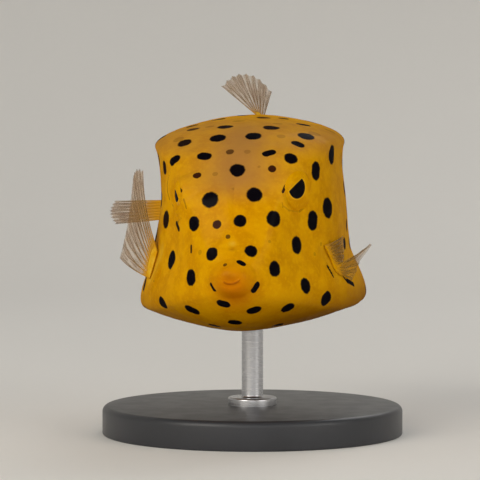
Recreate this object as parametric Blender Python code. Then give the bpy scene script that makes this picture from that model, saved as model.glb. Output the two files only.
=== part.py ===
"""A young yellow boxfish as a still, life-size museum model on a plain display stand.

Sizes are millimetres in the fish's own frame: x to the fish's left, y from the mouth towards the
tail, z up from the line of the mouth. One empty carries every piece of the fish in its pose, with
the snout a little down. The stand is placed from the belly that it holds.
"""

from math import cos, pi, radians, sin

import bmesh
import bpy
import numpy as np
from mathutils import Matrix, Vector

MM = 0.001
GAP = 0.3

# Pose of the fish on its stand
SNOUT_DOWN = 5.2
BANK = -0.8
HOLD_Y = 25.0
BELLY_OVER_FLOOR = 15.5

# Lines of the body: each is a smooth curve through a few points (y, size)
SNOUT_Y = 1.2
REAR_Y = 52.0
CROWN_Z = ((1.2, 1.9), (3.0, 4.1), (6.5, 10.4), (10.0, 14.6), (15.0, 17.2), (26.0, 18.7),
           (38.0, 18.0), (46.0, 15.2), (50.5, 10.6), (52.0, 7.4))
SHOULDER_X = ((1.2, 1.5), (3.0, 2.5), (6.5, 5.1), (10.0, 7.6), (15.0, 10.7), (22.0, 12.6),
              (30.0, 12.8), (38.0, 11.9), (46.0, 9.4), (52.0, 3.9))
SHOULDER_Z = ((1.2, 1.3), (3.0, 3.0), (6.5, 8.3), (10.0, 12.6), (15.0, 14.6), (26.0, 14.9),
              (38.0, 13.7), (46.0, 11.6), (52.0, 6.2))
WAIST_X = ((1.2, 2.1), (3.0, 3.3), (6.5, 6.6), (10.0, 9.2), (15.0, 12.1), (22.0, 13.3),
           (30.0, 13.3), (38.0, 12.0), (46.0, 9.5), (52.0, 4.1))
WAIST_Z = ((1.2, 0.0), (6.5, 1.6), (15.0, 1.2), (30.0, 0.8), (46.0, 1.0), (52.0, 3.0))
KEEL_X = ((1.2, 1.6), (3.0, 3.2), (6.5, 7.4), (10.0, 10.1), (15.0, 12.7), (22.0, 14.6),
          (30.0, 15.1), (38.0, 13.9), (46.0, 10.8), (52.0, 3.6))
KEEL_Z = ((1.2, -1.4), (3.0, -2.5), (6.5, -4.2), (10.0, -5.3), (15.0, -6.3), (26.0, -7.0),
          (38.0, -6.5), (46.0, -4.6), (52.0, 0.2))
BELLY_Z = ((1.2, -2.0), (3.0, -3.9), (6.5, -7.0), (10.0, -8.3), (15.0, -9.2), (26.0, -9.8),
           (38.0, -9.0), (46.0, -6.9), (52.0, -0.9))

# Direction of the section's outline in degrees, at the shoulder, waist and keel: the face is rounder
# than the box of the body behind it
SHOULDER_TURN = ((1.2, -45.0), (6.5, -60.0), (10.0, -78.0), (15.0, -93.0), (52.0, -93.0))
WAIST_TURN = -82.0
KEEL_TURN = ((1.2, -130.0), (6.5, -138.0), (12.0, -150.0), (18.0, -158.0), (52.0, -158.0))

# Pull of each end of the four curves between crown, shoulder, waist, keel and belly, and their steps
OUTLINE_PULLS = ((1.15, 0.55), (0.75, 0.9), (0.9, 0.75), (0.55, 1.15))
OUTLINE_STEPS = (8, 7, 7, 7)

# Seam between head and carapace: it runs behind the eye and the gill slit
SEAM_Y = 13.0
SEAM_Z = 1.0
SEAM_SWEEP = 1.3 / 9.3 ** 2
HEAD_RINGS = 15
CARAPACE_RINGS = 24

# Muzzle and mouth
LIP_RINGS = ((0.9, 2.00, 1.90), (0.45, 2.22, 2.08), (-0.05, 2.18, 2.02), (-0.5, 1.85, 1.72),
             (-0.8, 1.25, 1.18), (-0.93, 0.55, 0.52))
MOUTH_DIP = -0.45
MOUTH_REACH = 2.0
LIP_SIDES = 28

# Eyes, rims and nostrils
EYE_Y = 10.2
EYE_Z = 10.3
EYE_FACING = 53.0
EYE_RADIUS = 2.55
EYE_BULGE = 1.35
EYE_SINK = 0.6
RIM_RADIUS = 2.72
RIM_THICKNESS = 0.34
NOSTRIL_Y = 7.4
NOSTRIL_Z = 8.4
NOSTRIL_RADIUS = 0.42
NOSTRIL_HOLE = 0.22

# Gill slit on each side: from its upper end to its lower end (y, z)
GILL_UPPER = (11.6, 1.4)
GILL_LOWER = (12.3, -2.6)
GILL_WIDTH = 0.36
GILL_DEPTH = 0.7

# Fins: thicknesses shared by all of them
MEMBRANE = 0.5
RAY = 0.88
FIN_EDGE = 0.3
COLUMNS_PER_GAP = 4
FOOT_SHARE = 0.3

# Side fins: root on the flank (y, z), then the line of tips (share of the fin, x, y, z)
PECTORAL_UPPER = (13.9, 2.6)
PECTORAL_LOWER = (15.8, -1.8)
PECTORAL_STAND_OFF = 0.375
RIGHT_TIPS = ((0.0, -13.3, 15.0, 12.9), (0.33, -14.8, 16.5, 12.2), (0.5, -15.3, 17.5, 9.9),
              (0.75, -16.4, 19.4, 4.9), (1.0, -17.7, 20.0, 0.2))
RIGHT_BOW = 0.5
LEFT_TIPS = ((0.0, 14.3, 22.3, 2.9), (0.35, 15.0, 23.2, 0.7), (0.55, 15.9, 22.0, 0.9),
             (0.72, 16.9, 20.5, 0.9), (0.86, 16.5, 19.6, -1.3), (1.0, 16.0, 18.6, -3.7))
LEFT_BOW = 0.8

# Fins over and under the rear of the body: start and length of the root, then the line of tips
DORSAL_ROOT = (38.0, 5.5)
DORSAL_TIPS = ((0.0, -5.6, 41.4, 22.2), (0.3, -4.0, 44.4, 23.6), (0.65, -1.4, 47.2, 23.2),
               (1.0, 1.0, 48.2, 20.8))
ANAL_ROOT = (41.5, 5.0)
ANAL_TIPS = ((0.0, 2.2, 44.5, -13.2), (0.35, 1.6, 47.6, -13.8), (0.7, 0.6, 50.2, -12.2),
             (1.0, -0.4, 51.2, -9.6))

# Tail: the stalk leaves the carapace straight and bends to the fish's right
TAIL_Z = 3.3
TAIL_DROP = -0.055
TAIL_TURN = 84.0
TAIL_BEND_LENGTH = 7.5
STALK_LENGTH = 11.0
STALK_ROOT = (3.2, 3.6)
STALK_TIP = (1.15, 1.9)
TAIL_FIN_LENGTH = 17.0
TAIL_FIN_ROOT = 1.7
TAIL_FIN_TIP = 2.7
TAIL_FIN_ARCH = 1.6
TAIL_FIN_PLEAT = 0.25

# Stand
BASE_RADIUS = 21.0
BASE_HEIGHT = 4.0
BASE_BEVEL = 0.8
ROD_RADIUS = 1.5
FOOT_RADIUS = 3.4
FOOT_HEIGHT = 0.8
FOOT_ROUNDING = 0.3

COLOURS = {
    "skin_yellow": ((0.62, 0.34, 0.02), 0.42, 0.0),
    "lip_orange": ((0.55, 0.22, 0.02), 0.45, 0.0),
    "eye_gloss": ((0.03, 0.02, 0.01), 0.08, 0.0),
    "fin_membrane": ((0.40, 0.30, 0.12), 0.40, 0.0),
    "stand_charcoal": ((0.035, 0.036, 0.04), 0.45, 0.0),
    "stand_steel": ((0.55, 0.55, 0.56), 0.30, 1.0),
}


def clear_scene():
    """Removes the objects that the opened file holds."""
    for thing in list(bpy.data.objects):
        bpy.data.objects.remove(thing, do_unlink=True)


def material(name):
    """The material of that name, made on its first use."""
    found = bpy.data.materials.get(name)
    if found:
        return found
    colour, roughness, metallic = COLOURS[name]
    made = bpy.data.materials.new(name)
    made.use_nodes = True
    shader = made.node_tree.nodes["Principled BSDF"]
    shader.inputs["Base Color"].default_value = (*colour, 1.0)
    shader.inputs["Roughness"].default_value = roughness
    shader.inputs["Metallic"].default_value = metallic
    made.diffuse_color = (*colour, 1.0)
    return made


def through(points, where):
    """Smooth curve through (y, size) points, read at the places asked for."""
    y, size = np.array(points, float).T
    step = np.diff(y)
    slope = np.diff(size) / step
    inner = (slope[:-1] * step[1:] + slope[1:] * step[:-1]) / (step[:-1] + step[1:])
    first = (3.0 * slope[0] - inner[0]) / 2.0
    last = (3.0 * slope[-1] - inner[-1]) / 2.0
    turn = np.concatenate([[first], inner, [last]])
    where = np.clip(np.asarray(where, float), y[0], y[-1])
    k = np.clip(np.searchsorted(y, where, side="right") - 1, 0, len(step) - 1)
    h = step[k]
    t = (where - y[k]) / h
    start = (2 * t ** 3 - 3 * t ** 2 + 1) * size[k] + (t ** 3 - 2 * t ** 2 + t) * h * turn[k]
    return start + (3 * t ** 2 - 2 * t ** 3) * size[k + 1] + (t ** 3 - t ** 2) * h * turn[k + 1]


def outline_places():
    """Curve number and place along it for each point of half a section, crown to belly."""
    places = []
    for curve, steps in enumerate(OUTLINE_STEPS):
        places += [(curve, i / steps) for i in range(steps)]
    return places + [(len(OUTLINE_STEPS) - 1, 1.0)]


def half_section(y):
    """Points (x, z) of the left half of the skin's section, each at its own y."""
    places = outline_places()
    y = np.broadcast_to(np.asarray(y, float), (len(places),))
    zero = np.zeros_like(y)
    knots = np.array([
        [zero, through(CROWN_Z, y)],
        [through(SHOULDER_X, y), through(SHOULDER_Z, y)],
        [through(WAIST_X, y), through(WAIST_Z, y)],
        [through(KEEL_X, y), through(KEEL_Z, y)],
        [zero, through(BELLY_Z, y)],
    ])
    turns = np.array([zero, through(SHOULDER_TURN, y), zero + WAIST_TURN, through(KEEL_TURN, y),
                      zero - 180.0])
    points = []
    for i, (curve, t) in enumerate(places):
        a, b = knots[curve, :, i], knots[curve + 1, :, i]
        chord = np.hypot(*(b - a))
        leave, arrive = radians(turns[curve, i]), radians(turns[curve + 1, i])
        pull_a, pull_b = OUTLINE_PULLS[curve]
        out = chord * pull_a * np.array([cos(leave), sin(leave)])
        into = chord * pull_b * np.array([cos(arrive), sin(arrive)])
        point = (2 * t ** 3 - 3 * t ** 2 + 1) * a + (t ** 3 - 2 * t ** 2 + t) * out
        points.append(point + (3 * t ** 2 - 2 * t ** 3) * b + (t ** 3 - t ** 2) * into)
    return np.array(points)


def seam(z):
    """Place of the seam along the fish at a height."""
    return SEAM_Y + SEAM_SWEEP * (z - SEAM_Z) ** 2


def skin_ring(place):
    """Closed ring of skin points whose y is a function of their height."""
    y = place(np.zeros(len(outline_places())))
    for _ in range(8):
        half = half_section(y)
        y = place(half[:, 1])
    left = np.column_stack([half[:, 0], y, half[:, 1]])
    right = left[-2:0:-1] * (-1, 1, 1)
    return np.vstack([left, right])


def skin_x(y, z):
    """Half-width of the skin at a place and height on its side."""
    half = half_section(y)
    return float(np.interp(-z, -half[:, 1], half[:, 0]))


def skin_normal(y, z):
    """Outward normal of the skin on the fish's left side."""
    step = 0.3
    along = (skin_x(y + step, z) - skin_x(y - step, z)) / (2 * step)
    up = (skin_x(y, z + step) - skin_x(y, z - step)) / (2 * step)
    normal = np.array([1.0, -along, -up])
    return normal / np.linalg.norm(normal)


def mesh_object(name, points, faces, slot, origin=(0.0, 0.0, 0.0), parent=None):
    """Object of that name from points in millimetres, with its origin at the place given."""
    origin = Vector(origin)
    mesh = bpy.data.meshes.new(name)
    mesh.from_pydata([(Vector(p) - origin) * MM for p in points], [], faces)
    bm = bmesh.new()
    bm.from_mesh(mesh)
    bmesh.ops.recalc_face_normals(bm, faces=bm.faces)
    bm.to_mesh(mesh)
    bm.free()
    thing = bpy.data.objects.new(name, mesh)
    thing.location = origin * MM
    thing.parent = parent
    mesh.materials.append(material(slot))
    bpy.context.scene.collection.objects.link(thing)
    return thing


def loft_faces(rings, around):
    """Quads between rings of the same count."""
    faces = []
    for i in range(rings - 1):
        for j in range(around):
            k = (j + 1) % around
            faces.append((i * around + j, i * around + k, (i + 1) * around + k, (i + 1) * around + j))
    return faces


def ladder_cap(first, around):
    """Rungs across a ring that is the same left and right, from the crown to the belly."""
    half = around // 2
    mirror = [first + (around - j) % around for j in range(half + 1)]
    faces = [(first, first + 1, mirror[1])]
    faces += [(first + j, first + j + 1, mirror[j + 1], mirror[j]) for j in range(1, half - 1)]
    faces.append((first + half - 1, first + half, mirror[half - 1]))
    return faces


def body_shell(name, places, origin, parent):
    """Closed length of the body through rings of skin, with a ladder of faces over each end."""
    rings = [skin_ring(place) for place in places]
    around = len(rings[0])
    faces = loft_faces(len(rings), around)
    faces += ladder_cap(0, around) + ladder_cap((len(rings) - 1) * around, around)
    return mesh_object(name, np.vstack(rings), faces, "skin_yellow", origin, parent)


def use_boolean(target, cutters, operation):
    """Joins the cutters to the target, or cuts them from it, and removes them."""
    bpy.context.view_layer.update()
    for cutter in cutters:
        cut = target.modifiers.new("with_" + cutter.name, "BOOLEAN")
        cut.operation = operation
        cut.solver = "EXACT"
        cut.object = cutter
    ready = target.evaluated_get(bpy.context.evaluated_depsgraph_get())
    done = bpy.data.meshes.new_from_object(ready)
    old = target.data
    target.modifiers.clear()
    target.data = done
    done.name = target.name
    bpy.data.meshes.remove(old)
    for cutter in cutters:
        bpy.data.objects.remove(cutter, do_unlink=True)


def eye_frame(side):
    """Centre of the eyeball and its outward direction, on the left (1) or right (-1) side."""
    facing = radians(EYE_FACING)
    out = np.array([side * sin(facing), -cos(facing), 0.0])
    on_skin = np.array([side * skin_x(EYE_Y, EYE_Z), EYE_Y, EYE_Z])
    return on_skin - out * EYE_SINK, out


def turned_to(centre, out):
    """Matrix that takes a shape's own z axis to the direction and its origin to the centre."""
    turn = Vector(out).to_track_quat("Z", "Y").to_matrix().to_4x4()
    return Matrix.Translation(Vector(centre)) @ turn


def primitive_object(name, make, matrix, slot, parent, **settings):
    """Object from a bmesh primitive in millimetres, moved by the matrix."""
    bm = bmesh.new()
    make(bm, **settings)
    mesh = bpy.data.meshes.new(name)
    for vertex in bm.verts:
        vertex.co = vertex.co * MM
    bm.to_mesh(mesh)
    bm.free()
    thing = bpy.data.objects.new(name, mesh)
    placed = matrix.copy()
    placed.translation = placed.translation * MM
    thing.parent = parent
    thing.matrix_local = placed
    mesh.materials.append(material(slot))
    bpy.context.scene.collection.objects.link(thing)
    return thing


def ellipsoid(bm, radius, depth, segments=32, rings=16):
    """Round lens with its short axis along z."""
    bmesh.ops.create_uvsphere(bm, u_segments=segments, v_segments=rings, radius=1.0)
    for vertex in bm.verts:
        vertex.co = Vector((vertex.co.x * radius, vertex.co.y * radius, vertex.co.z * depth))


def ring_torus(bm, radius, thickness, segments=24, sides=6):
    """Torus about z, spun from a small circle."""
    made = bmesh.ops.create_circle(bm, segments=sides, radius=thickness)
    turn = Matrix.Translation((radius, 0, 0)) @ Matrix.Rotation(pi / 2, 4, "X")
    bmesh.ops.transform(bm, matrix=turn, verts=made["verts"])
    bmesh.ops.spin(bm, geom=bm.verts[:] + bm.edges[:], cent=(0, 0, 0), axis=(0, 0, 1),
                   angle=2 * pi, steps=segments, use_merge=True)
    bmesh.ops.remove_doubles(bm, verts=bm.verts, dist=1e-4)
    bmesh.ops.recalc_face_normals(bm, faces=bm.faces)


def peg(bm, radius, depth, segments=12):
    """Short round peg along z, centred on its middle."""
    bmesh.ops.create_cone(bm, cap_ends=True, segments=segments, radius1=radius,
                          radius2=radius, depth=depth)


def nostril_frame(side):
    """Place of a nostril on the skin and its outward direction."""
    normal = skin_normal(NOSTRIL_Y, NOSTRIL_Z) * (side, 1, 1)
    return np.array([side * skin_x(NOSTRIL_Y, NOSTRIL_Z), NOSTRIL_Y, NOSTRIL_Z]), normal


def gill_cutter(side, parent):
    """Slim curved wedge along the gill slit."""
    rows = 7
    points = []
    for i in range(rows):
        t = i / (rows - 1)
        y = GILL_UPPER[0] + t * (GILL_LOWER[0] - GILL_UPPER[0]) + 0.25 * sin(pi * t)
        z = GILL_UPPER[1] + t * (GILL_LOWER[1] - GILL_UPPER[1])
        half = max(0.25, sin(pi * t)) * GILL_WIDTH / 2
        on_skin = np.array([side * skin_x(y, z), y, z])
        out = skin_normal(y, z) * (side, 1, 1)
        across = np.array([out[1], -out[0], 0.0])
        across /= np.linalg.norm(across)
        deep = on_skin - out * GILL_DEPTH
        high = on_skin + out * 0.5
        points += [deep - across * half, deep + across * half]
        points += [high + across * half, high - across * half]
    faces = loft_faces(rows, 4) + [(0, 1, 2, 3), tuple(4 * (rows - 1) + i for i in (3, 2, 1, 0))]
    return mesh_object(f"gill_cutter_{side}", points, faces, "skin_yellow", parent=parent)


def make_head(parent):
    """Head: skin loft with raised eye rims, nostrils and gill slits."""
    def place(share):
        return lambda z: SNOUT_Y + share * (seam(z) - SNOUT_Y)

    head = body_shell("head", [place((i / HEAD_RINGS) ** 1.15) for i in range(HEAD_RINGS + 1)],
                      (0, SNOUT_Y, 0), parent)
    raised, cut = [], []
    for side in (1, -1):
        centre, out = eye_frame(side)
        rim_place = turned_to(centre + out * EYE_SINK * 0.9, out)
        raised.append(primitive_object(f"rim_{side}", ring_torus, rim_place, "skin_yellow", parent,
                                       radius=RIM_RADIUS, thickness=RIM_THICKNESS))
        cut.append(primitive_object(f"socket_{side}", ellipsoid, turned_to(centre, out), "skin_yellow",
                                    parent, radius=EYE_RADIUS + GAP, depth=EYE_BULGE + GAP))
        nostril, outward = nostril_frame(side)
        raised.append(primitive_object(f"nostril_rim_{side}", peg, turned_to(nostril, outward),
                                       "skin_yellow", parent, radius=NOSTRIL_RADIUS, depth=0.5))
        cut.append(primitive_object(f"nostril_hole_{side}", peg, turned_to(nostril, outward),
                                    "skin_yellow", parent, radius=NOSTRIL_HOLE, depth=1.2))
        cut.append(gill_cutter(side, parent))
    use_boolean(head, raised, "UNION")
    use_boolean(head, cut, "DIFFERENCE")
    return head


def make_carapace(parent):
    """Carapace: from the seam back to the opening that the tail leaves."""
    def place(share):
        return lambda z: (1 - share) * (seam(z) + GAP) + share * REAR_Y

    shares = [i / CARAPACE_RINGS for i in range(CARAPACE_RINGS + 1)]
    eased = [s + 0.07 * sin(pi * s) ** 2 for s in shares]
    return body_shell("carapace", [place(s) for s in eased], (0, HOLD_Y, 0), parent)


def make_lip(name, upper, parent):
    """One lip: half of the rounded muzzle, parted along the line of the mouth."""
    points = []
    for y, half_width, half_height in LIP_RINGS:
        for i in range(LIP_SIDES):
            a = 2 * pi * i / LIP_SIDES
            points.append((half_width * cos(a), y, half_height * sin(a)))
    rings = len(LIP_RINGS)
    faces = loft_faces(rings, LIP_SIDES)
    faces.append(tuple(range(LIP_SIDES)))
    faces.append(tuple((rings - 1) * LIP_SIDES + i for i in range(LIP_SIDES)))
    lip = mesh_object(name, points, faces, "lip_orange", (0, SNOUT_Y, 0), parent)
    steps, reach, edge = 12, 3.0, GAP / 2
    away = -4.0 if upper else 4.0
    block = []
    for i in range(steps + 1):
        x = -reach + 2 * reach * i / steps
        smile = MOUTH_DIP * (1 - min(1.0, abs(x) / MOUTH_REACH) ** 2)
        z = smile + (edge if upper else -edge)
        block += [(x, -3.0, z), (x, 3.0, z), (x, 3.0, away), (x, -3.0, away)]
    faces = loft_faces(steps + 1, 4) + [(0, 1, 2, 3), tuple(4 * steps + i for i in (3, 2, 1, 0))]
    cutter = mesh_object(name + "_cutter", block, faces, "lip_orange", parent=parent)
    use_boolean(lip, [cutter], "DIFFERENCE")
    return lip


def make_eye(name, side, parent):
    """Eyeball: a lens that stands a little out of its socket."""
    centre, out = eye_frame(side)
    return primitive_object(name, ellipsoid, turned_to(centre, out), "eye_gloss", parent,
                            radius=EYE_RADIUS, depth=EYE_BULGE, segments=24, rings=12)


def fan_fin(name, roots, tips, sideways, rays, rows, flesh, parent, bow=(0, 0, 0), fold=0.0):
    """Closed fin with a raised ray at each end and between, from a root line to a line of tips.

    roots and tips are functions of a share 0..1 across the fin, sideways is the direction through
    its root, flesh is the thickness of its fleshy foot, bow bends its middle out and fold pleats it.
    """
    columns = (rays - 1) * COLUMNS_PER_GAP
    bow = np.array(bow, float)
    middle = np.zeros((columns + 1, rows + 1, 3))
    for c in range(columns + 1):
        u = c / columns
        root, tip = roots(u), tips(u)
        for r in range(rows + 1):
            v = r / rows
            middle[c, r] = root + (tip - root) * v + bow * 4 * v * (1 - v)
    across = np.gradient(middle, axis=0)
    outward = np.gradient(middle, axis=1)
    normal = np.cross(across, outward)
    normal /= np.linalg.norm(normal, axis=2, keepdims=True)
    if np.mean(normal[:, 0] @ np.asarray(sideways)) < 0:
        normal = -normal
    front, back = [], []
    for c in range(columns + 1):
        ridge = cos(pi * c / COLUMNS_PER_GAP) ** 2
        pleat = fold * cos(pi * c / COLUMNS_PER_GAP)
        for r in range(rows + 1):
            v = r / rows
            thick = MEMBRANE + (RAY - MEMBRANE) * ridge
            foot = max(0.0, 1 - v / FOOT_SHARE) ** 2
            thick = thick * (1 - foot) + flesh * foot
            thick = thick * (1 - v ** 3) + FIN_EDGE * v ** 3
            blend = max(0.0, 1 - v / FOOT_SHARE)
            way = normal[c, r] * (1 - blend) + np.asarray(sideways) * blend
            way = way / np.linalg.norm(way)
            centre = middle[c, r] + normal[c, r] * pleat * v
            front.append(centre + way * thick / 2)
            back.append(centre - way * thick / 2)
    return mesh_object(name, front + back, fin_faces(columns, rows), "fin_membrane",
                       tuple(roots(0.5)), parent)


def fin_faces(columns, rows):
    """Triangles of a fin, split alike on both faces and closed round its edge."""
    height = rows + 1
    other = (columns + 1) * height
    faces = []
    for c in range(columns):
        for r in range(rows):
            a, b = c * height + r, c * height + r + 1
            d, e = a + height, b + height
            faces += [(a, d, e), (a, e, b)]
            faces += [(other + a, other + e, other + d), (other + a, other + b, other + e)]
    edge = [c * height for c in range(columns + 1)]
    edge += [columns * height + r for r in range(1, rows + 1)]
    edge += [c * height + rows for c in range(columns - 1, -1, -1)]
    edge += [r for r in range(rows - 1, 0, -1)]
    for a, b in zip(edge, edge[1:] + edge[:1]):
        faces += [(a, other + a, other + b), (a, other + b, b)]
    return faces


def along_tips(tips):
    """Smooth line through tips (share, x, y, z) as a function of the share."""
    def at(u):
        return np.array([float(through([(t[0], t[i]) for t in tips], u)) for i in (1, 2, 3)])
    return at


def make_pectoral(name, side, tips, bow, parent):
    """Side fin: its root lies on the flank behind the gill slit."""
    upper, lower = np.array(PECTORAL_UPPER), np.array(PECTORAL_LOWER)

    def roots(u):
        y, z = upper + u * (lower - upper)
        normal = skin_normal(y, z) * (side, 1, 1)
        return np.array([side * skin_x(y, z), y, z]) + normal * PECTORAL_STAND_OFF

    normal = skin_normal(*((upper + lower) / 2)) * (side, 1, 1)
    run = roots(1.0) - roots(0.0)
    sideways = np.cross(run, normal)
    sideways /= np.linalg.norm(sideways)
    if sideways[1] > 0:
        sideways = -sideways
    return fan_fin(name, roots, along_tips(tips), sideways, 10, 6, 1.0, parent, (side * bow, 0, 0))


def make_dorsal(parent):
    """Fin on the back, its front rays leaning to the fish's right as it waves."""
    def roots(u):
        y = DORSAL_ROOT[0] + DORSAL_ROOT[1] * u
        return np.array([0.0, y, float(through(CROWN_Z, y)) + GAP])

    return fan_fin("dorsal_fin", roots, along_tips(DORSAL_TIPS), (1, 0, 0), 9, 5, 0.9, parent)


def make_anal(parent):
    """Fin under the rear of the body, set back a little from the fin on the back."""
    def roots(u):
        y = ANAL_ROOT[0] + ANAL_ROOT[1] * u
        return np.array([0.0, y, float(through(BELLY_Z, y)) - GAP])

    return fan_fin("anal_fin", roots, along_tips(ANAL_TIPS), (1, 0, 0), 9, 5, 0.9, parent)


def tail_frame(s):
    """Centre and heading of the tail's line at a length from the carapace."""
    steps = 60
    x, y = 0.0, REAR_Y + GAP
    for i in range(steps):
        heading = tail_heading(s * (i + 0.5) / steps)
        x -= sin(heading) * s / steps
        y += cos(heading) * s / steps
    heading = tail_heading(s)
    return np.array([x, y, TAIL_Z + TAIL_DROP * s]), np.array([-sin(heading), cos(heading), 0.0])


def tail_heading(s):
    """Turn of the tail's line to the fish's right, in radians."""
    t = min(1.0, s / TAIL_BEND_LENGTH)
    return radians(TAIL_TURN) * t * t * (3 - 2 * t)


def make_stalk(parent):
    """Fleshy stalk of the tail, bent to the fish's right."""
    rings, sides = 12, 20
    points = []
    for i in range(rings + 1):
        t = i / rings
        centre, ahead = tail_frame(STALK_LENGTH * t)
        wide = STALK_ROOT[0] + (STALK_TIP[0] - STALK_ROOT[0]) * t ** 0.8
        tall = STALK_ROOT[1] + (STALK_TIP[1] - STALK_ROOT[1]) * t ** 0.8
        across = np.array([ahead[1], -ahead[0], 0.0])
        for j in range(sides):
            a = 2 * pi * j / sides
            points.append(centre + across * wide * cos(a) + np.array([0, 0, tall * sin(a)]))
    faces = loft_faces(rings + 1, sides)
    faces.append(tuple(range(sides)))
    faces.append(tuple(rings * sides + j for j in range(sides)))
    return mesh_object("tail_stalk", points, faces, "skin_yellow", (0, REAR_Y + GAP, TAIL_Z), parent)


def make_tail_fin(parent):
    """Tail fin, nearly folded, in line with the end of the stalk."""
    root, ahead = tail_frame(STALK_LENGTH + GAP)
    across = np.array([ahead[1], -ahead[0], 0.0])
    end, _ = tail_frame(STALK_LENGTH + GAP + TAIL_FIN_LENGTH)

    def roots(u):
        return root + np.array([0, 0, TAIL_FIN_ROOT * (1 - 2 * u)])

    def tips(u):
        short = TAIL_FIN_ARCH * (1 - sin(pi * u))
        return end - ahead * short + np.array([0, 0, TAIL_FIN_TIP * (1 - 2 * u)])

    return fan_fin("tail_fin", roots, tips, across, 10, 7, 1.1, parent, fold=TAIL_FIN_PLEAT)


def make_stand():
    """Round base, and a steel rod with a small foot up to the belly."""
    hold = fish_matrix() @ Vector((0, HOLD_Y, float(through(BELLY_Z, HOLD_Y))))
    bm = bmesh.new()
    bmesh.ops.create_cone(bm, cap_ends=True, segments=64, radius1=BASE_RADIUS, radius2=BASE_RADIUS,
                          depth=BASE_HEIGHT)
    rim = [e for e in bm.edges if all(v.co.z > 0 for v in e.verts)]
    bmesh.ops.bevel(bm, geom=rim, offset=BASE_BEVEL, segments=3, profile=0.5, affect="EDGES")
    lift = Vector((0, 0, BASE_HEIGHT / 2))
    faces = [tuple(v.index for v in f.verts) for f in bm.faces]
    mesh_object("stand_base", [v.co + lift for v in bm.verts], faces, "stand_charcoal")
    bm.free()
    sides = 24
    low = BASE_HEIGHT + GAP
    top = low + FOOT_HEIGHT
    profile = ((FOOT_RADIUS, low), (FOOT_RADIUS, top - FOOT_ROUNDING), (FOOT_RADIUS - FOOT_ROUNDING, top),
               (ROD_RADIUS + FOOT_ROUNDING, top), (ROD_RADIUS, top + FOOT_ROUNDING))
    points = []
    for radius, z in profile:
        points += [(radius * cos(2 * pi * i / sides), radius * sin(2 * pi * i / sides), z)
                   for i in range(sides)]
    tilt = sin(radians(SNOUT_DOWN))
    for i in range(sides):
        x, y = ROD_RADIUS * cos(2 * pi * i / sides), ROD_RADIUS * sin(2 * pi * i / sides)
        points.append((x, y, hold.z - GAP + tilt * y))
    rings = len(profile) + 1
    faces = loft_faces(rings, sides)
    faces.append(tuple(range(sides)))
    faces.append(tuple((rings - 1) * sides + i for i in range(sides)))
    mesh_object("stand_rod", points, faces, "stand_steel", (0, 0, low))


def fish_matrix():
    """Pose of the fish in millimetres: banked, snout down, with its belly over the base's centre."""
    turn = Matrix.Rotation(radians(SNOUT_DOWN), 4, "X") @ Matrix.Rotation(radians(BANK), 4, "Y")
    held = turn @ Vector((0, HOLD_Y, float(through(BELLY_Z, HOLD_Y))))
    return Matrix.Translation(Vector((0, 0, BELLY_OVER_FLOOR)) - held) @ turn


def main():
    """Builds every piece of the fish and its stand."""
    clear_scene()
    fish = bpy.data.objects.new("fish_pose", None)
    bpy.context.scene.collection.objects.link(fish)
    pose = fish_matrix()
    pose.translation = pose.translation * MM
    make_head(fish)
    make_carapace(fish)
    make_lip("upper_lip", True, fish)
    make_lip("lower_lip", False, fish)
    make_eye("eye_left", 1, fish)
    make_eye("eye_right", -1, fish)
    make_pectoral("pectoral_fin_right", -1, RIGHT_TIPS, RIGHT_BOW, fish)
    make_pectoral("pectoral_fin_left", 1, LEFT_TIPS, LEFT_BOW, fish)
    make_dorsal(fish)
    make_anal(fish)
    make_stalk(fish)
    make_tail_fin(fish)
    make_stand()
    fish.matrix_world = pose


main()
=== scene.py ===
"""Looks of a life-size young yellow boxfish on its display stand.

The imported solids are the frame. One skin takes the place of the head, carapace, lips and tail stalk,
and finer eyes and fins take the place of theirs. Sizes are millimetres in the fish's own frame: x to
the fish's left, y from the mouth towards the tail, z up. The finished meshes are put in the pose and
in metres at the end.
"""

import logging
from dataclasses import dataclass, field
from enum import Enum
from math import cos, pi, radians, sin

import bmesh
import bpy
import numpy as np
from mathutils import Matrix, Vector
from mathutils.bvhtree import BVHTree


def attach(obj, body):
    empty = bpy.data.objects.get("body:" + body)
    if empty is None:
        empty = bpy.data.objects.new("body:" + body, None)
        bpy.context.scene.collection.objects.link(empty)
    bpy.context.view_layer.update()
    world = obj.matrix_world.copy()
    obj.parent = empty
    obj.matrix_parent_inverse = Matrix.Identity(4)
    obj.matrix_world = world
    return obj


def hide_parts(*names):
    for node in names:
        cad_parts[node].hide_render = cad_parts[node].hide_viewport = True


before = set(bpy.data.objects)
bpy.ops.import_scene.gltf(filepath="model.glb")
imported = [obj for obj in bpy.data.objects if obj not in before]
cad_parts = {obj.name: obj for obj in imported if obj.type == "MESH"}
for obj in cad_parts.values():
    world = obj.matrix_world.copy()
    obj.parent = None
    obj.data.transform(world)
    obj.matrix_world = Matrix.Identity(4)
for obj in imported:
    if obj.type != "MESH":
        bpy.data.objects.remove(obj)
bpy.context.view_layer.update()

logging.basicConfig(level=logging.INFO, format="%(message)s")
LOG = logging.getLogger("boxfish")

MM = 0.001  # a millimetre in metres
IMAGE = 480  # pixels of the photograph, both ways
WELD = 1e-4  # millimetres
SKEW = (0.13, 0.31, 0.94)  # a direction that no fin ray runs in
SIDES = {"left": 1, "right": -1}
SMOOTH = {"interpolation_type": "SMOOTHSTEP"}

# A span is two ends, or a size and a width. A line is pairs (place, size). A ramp is where a value
# starts and ends, and what it becomes there. Tips are a share across a fin and a place.
Span = tuple[float, float]
Line = tuple[Span, ...]
Point = tuple[float, float, float]
Ramp = tuple[float, float, float, float]
Tips = tuple[tuple[float, float, float, float], ...]
Socket = bpy.types.NodeSocket
Tree = bpy.types.NodeTree
Look = dict[str, Socket | float | tuple]


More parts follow.
